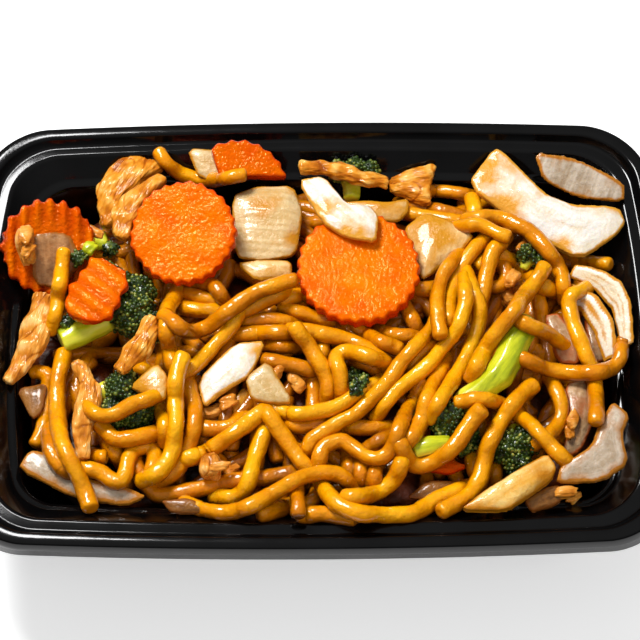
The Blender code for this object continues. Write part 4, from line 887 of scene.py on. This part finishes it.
# The tray's inner wall and its ledge carry the noodles that lean on them.
wall_top = np.full((columns, rows), NOTHING_BELOW)
tray_insets, tray_heights = zip(*TRAY_TOP[3:])
for inset in np.arange(3.0, 21.0, 0.3):
    wall = np.array(tray_outline(inset, arc_steps=60, side_steps=300))
    np.maximum.at(wall_top, cells_at(wall[:, 0], wall[:, 1]), np.interp(inset, tray_insets, tray_heights))
pile_top = np.maximum(pile_top, wall_top)
steps = np.arange(-4, 5) * CELL
disc_x, disc_y = (part.ravel() for part in np.meshgrid(steps, steps))
inside = np.hypot(disc_x, disc_y) < NOODLE_RADIUS
disc_x, disc_y = disc_x[inside], disc_y[inside]
disc_rise = np.sqrt(NOODLE_RADIUS**2 - disc_x**2 - disc_y**2)


def cells_under(plan):
    """The cells that a noodle covers at each of its points."""
    return cells_at(plan[:, :1] + disc_x, plan[:, 1:] + disc_y)


def raise_pile(plan, heights):
    """Adds a noodle to the heap, for the next ones to lie on."""
    np.maximum.at(pile_top, cells_under(plan), heights[:, None] + disc_rise)


def even_line(points, step):
    """Points at equal steps along a smooth curve through the given ones."""
    line = np.asarray(points, float)
    line = np.vstack((2 * line[0] - line[1], line, 2 * line[-1] - line[-2]))
    dense = []
    for p0, p1, p2, p3 in zip(line, line[1:], line[2:], line[3:]):
        t = np.linspace(0, 1, 16, endpoint=False)[:, None]
        dense.append(0.5 * (2 * p1 + (p2 - p0) * t + (2 * p0 - 5 * p1 + 4 * p2 - p3) * t**2
                            + (3 * p1 - p0 - 3 * p2 + p3) * t**3))
    dense = np.vstack(dense + [line[-2:-1]])
    reach = np.concatenate(([0.0], np.cumsum(np.linalg.norm(np.diff(dense, axis=0), axis=1))))
    even = np.linspace(0, reach[-1], max(int(reach[-1] / step), 4) + 1)
    return np.column_stack([np.interp(even, reach, column) for column in dense.T])


def lay(plan, heights, over, pixels=None):
    """Lets a noodle down onto what lies there already. A route in pixels keeps its place in the photograph."""
    floor = heights.copy()
    for _ in range(6):
        if pixels is not None:
            plan = from_photo(pixels, heights)
        here = cells_under(plan)
        ground = np.maximum(pile_top[here], topping_top[here]) if over else pile_top[here]
        need = (ground + SQUEEZE * disc_rise).max(1)
        roof = np.full(len(plan), NO_ROOF) if over else (topping_under[here] - disc_rise).min(1) - MARGIN
        for k in range(1, len(roof)):
            roof[k] = min(roof[k], roof[k - 1] + STEEPEST_STEP)
        for k in range(len(roof) - 2, -1, -1):
            roof[k] = min(roof[k], roof[k + 1] + STEEPEST_STEP)
        lowest = np.maximum(need, floor)
        heights = np.minimum(lowest, roof)
        for _ in range(30):
            ends = np.concatenate((heights[:1], heights, heights[-1:]))
            even = (ends[:-2] + ends[1:-1] + ends[2:]) / 3
            heights = np.minimum(np.maximum(even, np.minimum(lowest, roof)), roof)
    return plan, heights


# Low noodles that don't stand out, along random walks, drawn dark as painted shade low in the heap.
laid = []
draw = np.random.default_rng(31)
FILLER_COUNT = 150
LINE_STEP = 1.1
FILLER_FROM_CORE = -4.6
for number in range(FILLER_COUNT):
    x, y, heading = draw.uniform(-82, 84), draw.uniform(-54, 50), draw.uniform(0, math.tau)
    bend = draw.normal(0, 0.12)
    walk = []
    for _ in range(int(draw.integers(9, 22))):
        if abs(x / 87) ** 4 + abs(y / 57) ** 4 > 1:
            break
        walk.append((x, y))
        x, y = x + 3.5 * math.cos(heading), y + 3.5 * math.sin(heading)
        heading += bend + draw.normal(0, 0.1)
    if len(walk) > 5:
        plan = even_line(walk, LINE_STEP)
        heights = core_height(plan[:, 0], plan[:, 1]) + FILLER_FROM_CORE
        heights += draw.uniform(-1.0, 1.5)
        roof = topping_under[cells_at(plan[:, 0], plan[:, 1])] - NOODLE_RADIUS - MARGIN
        heights = np.minimum(heights, roof)
        laid.append((plan, heights, 0, draw.uniform(-0.5, 0.2)))
for plan, heights, order, tone_and_depth_shade in laid:
    raise_pile(plan, heights)

# The noodles that show, from the lowest to the highest. A tucked end runs on and dives.
PIXEL_STEP = 2.6
TUCK_PIXELS = 13.0
TUCK_DEPTH = 5.5
TUCK_SLOPE = 0.95
POINT_SPACING = 0.8
for name, (order, ends, over, *route) in sorted(ROUTES.items(), key=lambda item: item[1][0]):
    route = [np.array(p, float) for p in route]
    if ends[0] == "u":
        way = route[0] - route[1]
        route.insert(0, route[0] + way / np.linalg.norm(way) * TUCK_PIXELS)
    if ends[1] == "u":
        way = route[-1] - route[-2]
        route.append(route[-1] + way / np.linalg.norm(way) * TUCK_PIXELS)
    pixels = even_line(route, PIXEL_STEP)
    plan = from_photo(pixels, np.full(len(pixels), START_HEIGHT))
    heights = core_height(plan[:, 0], plan[:, 1]) + LOWEST_FROM_CORE[order]
    reach = np.arange(len(heights)) * POINT_SPACING
    plan, heights = lay(plan, heights, over == "over", pixels)
    if ends[0] == "u":
        heights = heights - np.maximum(TUCK_DEPTH - reach * TUCK_SLOPE, 0.0)
    if ends[1] == "u":
        heights = heights - np.maximum(TUCK_DEPTH - reach[::-1] * TUCK_SLOPE, 0.0)
    for _ in range(3):
        plan = from_photo(pixels, heights)
        here = cells_under(plan)
        heights = np.maximum(heights, (wall_top[here] + SQUEEZE * disc_rise).max(1))
    raise_pile(plan, heights)
    # Painted shade: noodles laid lower get darker colours, partly at random, partly as shade low in the heap.
    laid.append((plan, heights, order, draw.uniform(0.05, 0.6) if order < 3 else draw.uniform(0.35, 1.0)))

NOODLE_SIDES = 14
UNEVENNESS = 0.66


def noodle_tree():
    """Sweeps a round, slightly uneven section along lines of points."""
    group = bpy.data.node_groups.new("swept_noodles", "GeometryNodeTree")
    group.interface.new_socket("Lines", in_out="INPUT", socket_type="NodeSocketGeometry")
    sides = group.interface.new_socket("Sides", in_out="INPUT", socket_type="NodeSocketInt")
    sides.default_value = NOODLE_SIDES
    depth = group.interface.new_socket("Unevenness", in_out="INPUT", socket_type="NodeSocketFloat")
    depth.default_value = UNEVENNESS * MM
    group.interface.new_socket("Noodles", in_out="OUTPUT", socket_type="NodeSocketGeometry")
    enter = node(group, "NodeGroupInput")
    curves = node(group, "GeometryNodeMeshToCurve", {"Mesh": enter.outputs["Lines"]})
    girth = node(group, "GeometryNodeInputNamedAttribute", {"Name": "girth"}, data_type="FLOAT")
    section = node(group, "GeometryNodeCurvePrimitiveCircle", {
        "Resolution": enter.outputs["Sides"], "Radius": 1.0})
    swept = node(group, "GeometryNodeCurveToMesh", {
        "Curve": curves.outputs["Curve"], "Profile Curve": section.outputs["Curve"],
        "Scale": girth.outputs["Attribute"], "Fill Caps": True})
    where = node(group, "GeometryNodeInputPosition").outputs["Position"]
    lumps = maths(group, "SUBTRACT", noise(group, where, 330.0, 1.0), 0.5)
    rise = maths(group, "MULTIPLY", lumps, enter.outputs["Unevenness"])
    outward = node(group, "GeometryNodeInputNormal").outputs["Normal"]
    push = node(group, "ShaderNodeVectorMath", {0: outward, "Scale": rise}, operation="SCALE")
    moved = node(group, "GeometryNodeSetPosition", {
        "Geometry": swept.outputs["Mesh"], "Offset": push.outputs["Vector"]})
    # Painted shade: keeps how far each point faces up, so the material draws the undersides darker.
    facing = node(group, "ShaderNodeSeparateXYZ", {"Vector": outward})
    marked = node(group, "GeometryNodeStoreNamedAttribute", {
        "Geometry": moved.outputs["Geometry"], "Name": "upward_for_underside_shade", "Value": facing.outputs["Z"],
    }, data_type="FLOAT", domain="POINT")
    real = node(group, "GeometryNodeRealizeInstances", {"Geometry": marked.outputs["Geometry"]})
    soft = node(group, "GeometryNodeSetShadeSmooth", {"Geometry": real.outputs["Geometry"]})
    dyed = node(group, "GeometryNodeSetMaterial", {
        "Geometry": soft.outputs["Geometry"], "Material": cooked_dough})
    node(group, "NodeGroupOutput", {"Noodles": dyed.outputs["Geometry"]})
    return group


# Boiled wheat dough in oil and sauce: golden yellow, amber where the sauce has soaked in, with painted shade
# darker on the undersides and on the noodles lower in the heap, and a wet film.
cooked_dough, tree, shader, place = blank_material(
    "sauced_wheat_noodle", 0.3, ior=1.42, Subsurface_Weight=0.12, Subsurface_Radius=(1.0, 0.45, 0.1),
    Subsurface_Scale=0.0015, Specular_IOR_Level=0.22, Specular_Tint=(1.0, 0.8, 0.4, 1.0), Coat_Weight=0.8,
    Coat_Roughness=0.07)
toned = maths(tree, "MULTIPLY_ADD", noise(tree, place, 110.0, 3.0), 0.6, 0.0)
# Each noodle's own colour shift: partly random, partly painted shade that darkens the lower ones.
toned = maths(tree, "MULTIPLY_ADD", stored(tree, "tone_and_depth_shade"), 0.4, toned)
# Painted shade: sides that face down are drawn darker, and tops a little lighter.
toned = maths(tree, "ADD", toned, ranged(tree, stored(tree, "upward_for_underside_shade"), -0.1, 0.85, -0.36, 0.04))
dough = colours(tree, toned, (0.0, "5E2E00"), (0.2, "A65C02"), (0.42, "D67E00"), (0.66, "EEA002"),
                (0.85, "F8B60C"))
film = noise(tree, place, 480.0, 3.5)
wire(tree, shader, Base_Color=dough, Normal=bumped(tree, film, 0.65, 0.0009),
     Coat_Normal=bumped(tree, film, 0.5, 0.0007))

# Noodles differ a little in thickness, and each swells and narrows along its length.
STOUTNESS = 1.035
STOUTNESS_SWING = 0.065
sweep_noodles = noodle_tree()
for batch, orders in (("low", (0, 1, 2)), ("middle", (3, 4)), ("top", (5, 6, 7, 8))):
    points, edges, girths, tones = [], [], [], []
    for plan, heights, order, tone_and_depth_shade in laid:
        if order not in orders:
            continue
        line = np.column_stack((plan, heights))
        along = np.concatenate(([0.0], np.cumsum(np.linalg.norm(np.diff(line, axis=0), axis=1))))
        tips = np.array([d for d, _ in CUT_TIP])
        spread = np.linspace(0, along[-1], int(along[-1] / LINE_STEP) + 2)
        fine = np.unique(np.concatenate((spread, tips, along[-1] - tips)))
        girth = np.interp(fine, *zip(*CUT_TIP)) * np.interp(along[-1] - fine, *zip(*CUT_TIP))
        first = len(points)
        stout = STOUTNESS + STOUTNESS_SWING * math.sin(0.37 * first)
        wobble = stout + 0.045 * np.sin(fine / 5.3 + first) + 0.03 * np.sin(fine / 2.1 + 2.0 * first)
        points += [tuple(np.interp(d, along, line[:, k]) * MM for k in range(3)) for d in fine]
        edges += [(first + k, first + k + 1) for k in range(len(fine) - 1)]
        girths += list(NOODLE_RADIUS * MM * girth * wobble)
        tones += [tone_and_depth_shade] * len(fine)
    mesh = bpy.data.meshes.new("noodle_lines")
    mesh.from_pydata(points, edges, [])
    for key, values in (("girth", girths), ("tone_and_depth_shade", tones)):
        store(mesh, key, values)
    lines = new_object("noodle_lines", mesh)
    noodles = grown(lines, sweep_noodles, "noodles_" + batch)
    bpy.data.objects.remove(lines)
    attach(noodles, "root")

# ---- Small bits ------------------------------------------------------------------------------------------
# Shreds of chicken and crumbs of onion and broccoli that broke off in the pan. Each lies on what is below it.
# Each entry: place in the photograph's pixels, length and thickness in mm, heading in degrees.
LOWEST_BIT = 6.0
HIGHEST_BIT = 56.0
BITS = {
    "chicken": ((25, 236, 7, 3, 85), (28, 250, 6, 2.6, 65), (95, 232, 6, 2.4, 150), (104, 238, 5, 2, 120),
                (293, 378, 6, 2.6, 110), (297, 390, 7, 2.8, 130), (277, 372, 5, 2.2, 60), (212, 412, 8, 3.4, 20),
                (228, 402, 6, 3, 40), (512, 280, 7, 2.8, 60), (507, 293, 8, 3, 110), (515, 300, 6, 2.6, 60),
                (566, 492, 7, 2.6, 10), (574, 498, 5, 2, 40),
                (524, 236, 5, 2, 50), (220, 466, 6, 2, 10), (232, 470, 5, 2, 40),
                (573, 420, 6, 2.4, 70), (569, 432, 5, 2.2, 100), (147, 322, 5, 2, 90), (86, 246, 4, 1.8, 20)),
    "onion": ((240, 400, 9, 2.2, 60),),
    "stem": ((97, 241, 8, 4, 15), (90, 248, 5, 3, 60)),
    "broccoli": ((110, 249, 5, 3, 80), (79, 257, 5, 3, 50), (66, 322, 4, 2.6, 30),
                 (352, 376, 6, 3, 20), (361, 382, 5, 2.6, 60), (356, 388, 5, 2.4, 100)),
}
BIT_MATERIALS = {"chicken": pale_chicken, "onion": cream_onion, "stem": stem_flesh, "broccoli": bud_green}
surface = np.maximum(pile_top, topping_top)
for number, (kind, places) in enumerate(BITS.items()):
    work = bmesh.new()
    for k, (x, y, length, thick, heading) in enumerate(places):
        height = START_HEIGHT
        for _ in range(8):
            spot = from_photo([(x, y)], np.array([height]))[0]
            around = cells_at(spot[0] + steps * 0.5, spot[1] + steps * 0.5)
            height = float(np.clip(np.median(surface[around]), LOWEST_BIT, HIGHEST_BIT)) + thick * 0.25
        ball = bmesh.ops.create_icosphere(work, subdivisions=3, radius=1.0)["verts"]
        shape = np.array([v.co for v in ball])
        shape = np.sign(shape) * np.abs(shape) ** 0.75
        lines_in_bit = waves(shape * (0.3, 1.0, 1.0), 0.5, 560 + k)
        shape *= 1 + 0.2 * waves(shape, 1.2, 500 + k)[:, None] + 0.12 * lines_in_bit[:, None]
        shape *= (length / 2, thick * 0.7, thick / 2)
        turn = math.radians(heading)
        for v, (a, b, c) in zip(ball, shape):
            v.co = ((spot[0] + a * math.cos(turn) - b * math.sin(turn)) * MM,
                    (spot[1] + a * math.sin(turn) + b * math.cos(turn)) * MM, (height + c) * MM)
    mesh = bpy.data.meshes.new("bits_" + kind)
    work.to_mesh(mesh)
    store(mesh, "relief", [-0.03] * len(mesh.vertices))
    store(mesh, "grain", [tuple(v.co) for v in mesh.vertices])
    work.free()
    mesh.shade_smooth()
    mesh.materials.append(BIT_MATERIALS[kind])
    bits = new_object("bits_" + kind, mesh)
    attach(bits, "root")
    if kind == "broccoli":
        store(mesh, "crown", [1.0] * len(mesh.vertices))
        bit_buds = grown(bits, buds, "buds_on_bits")
        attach(bit_buds, "root")
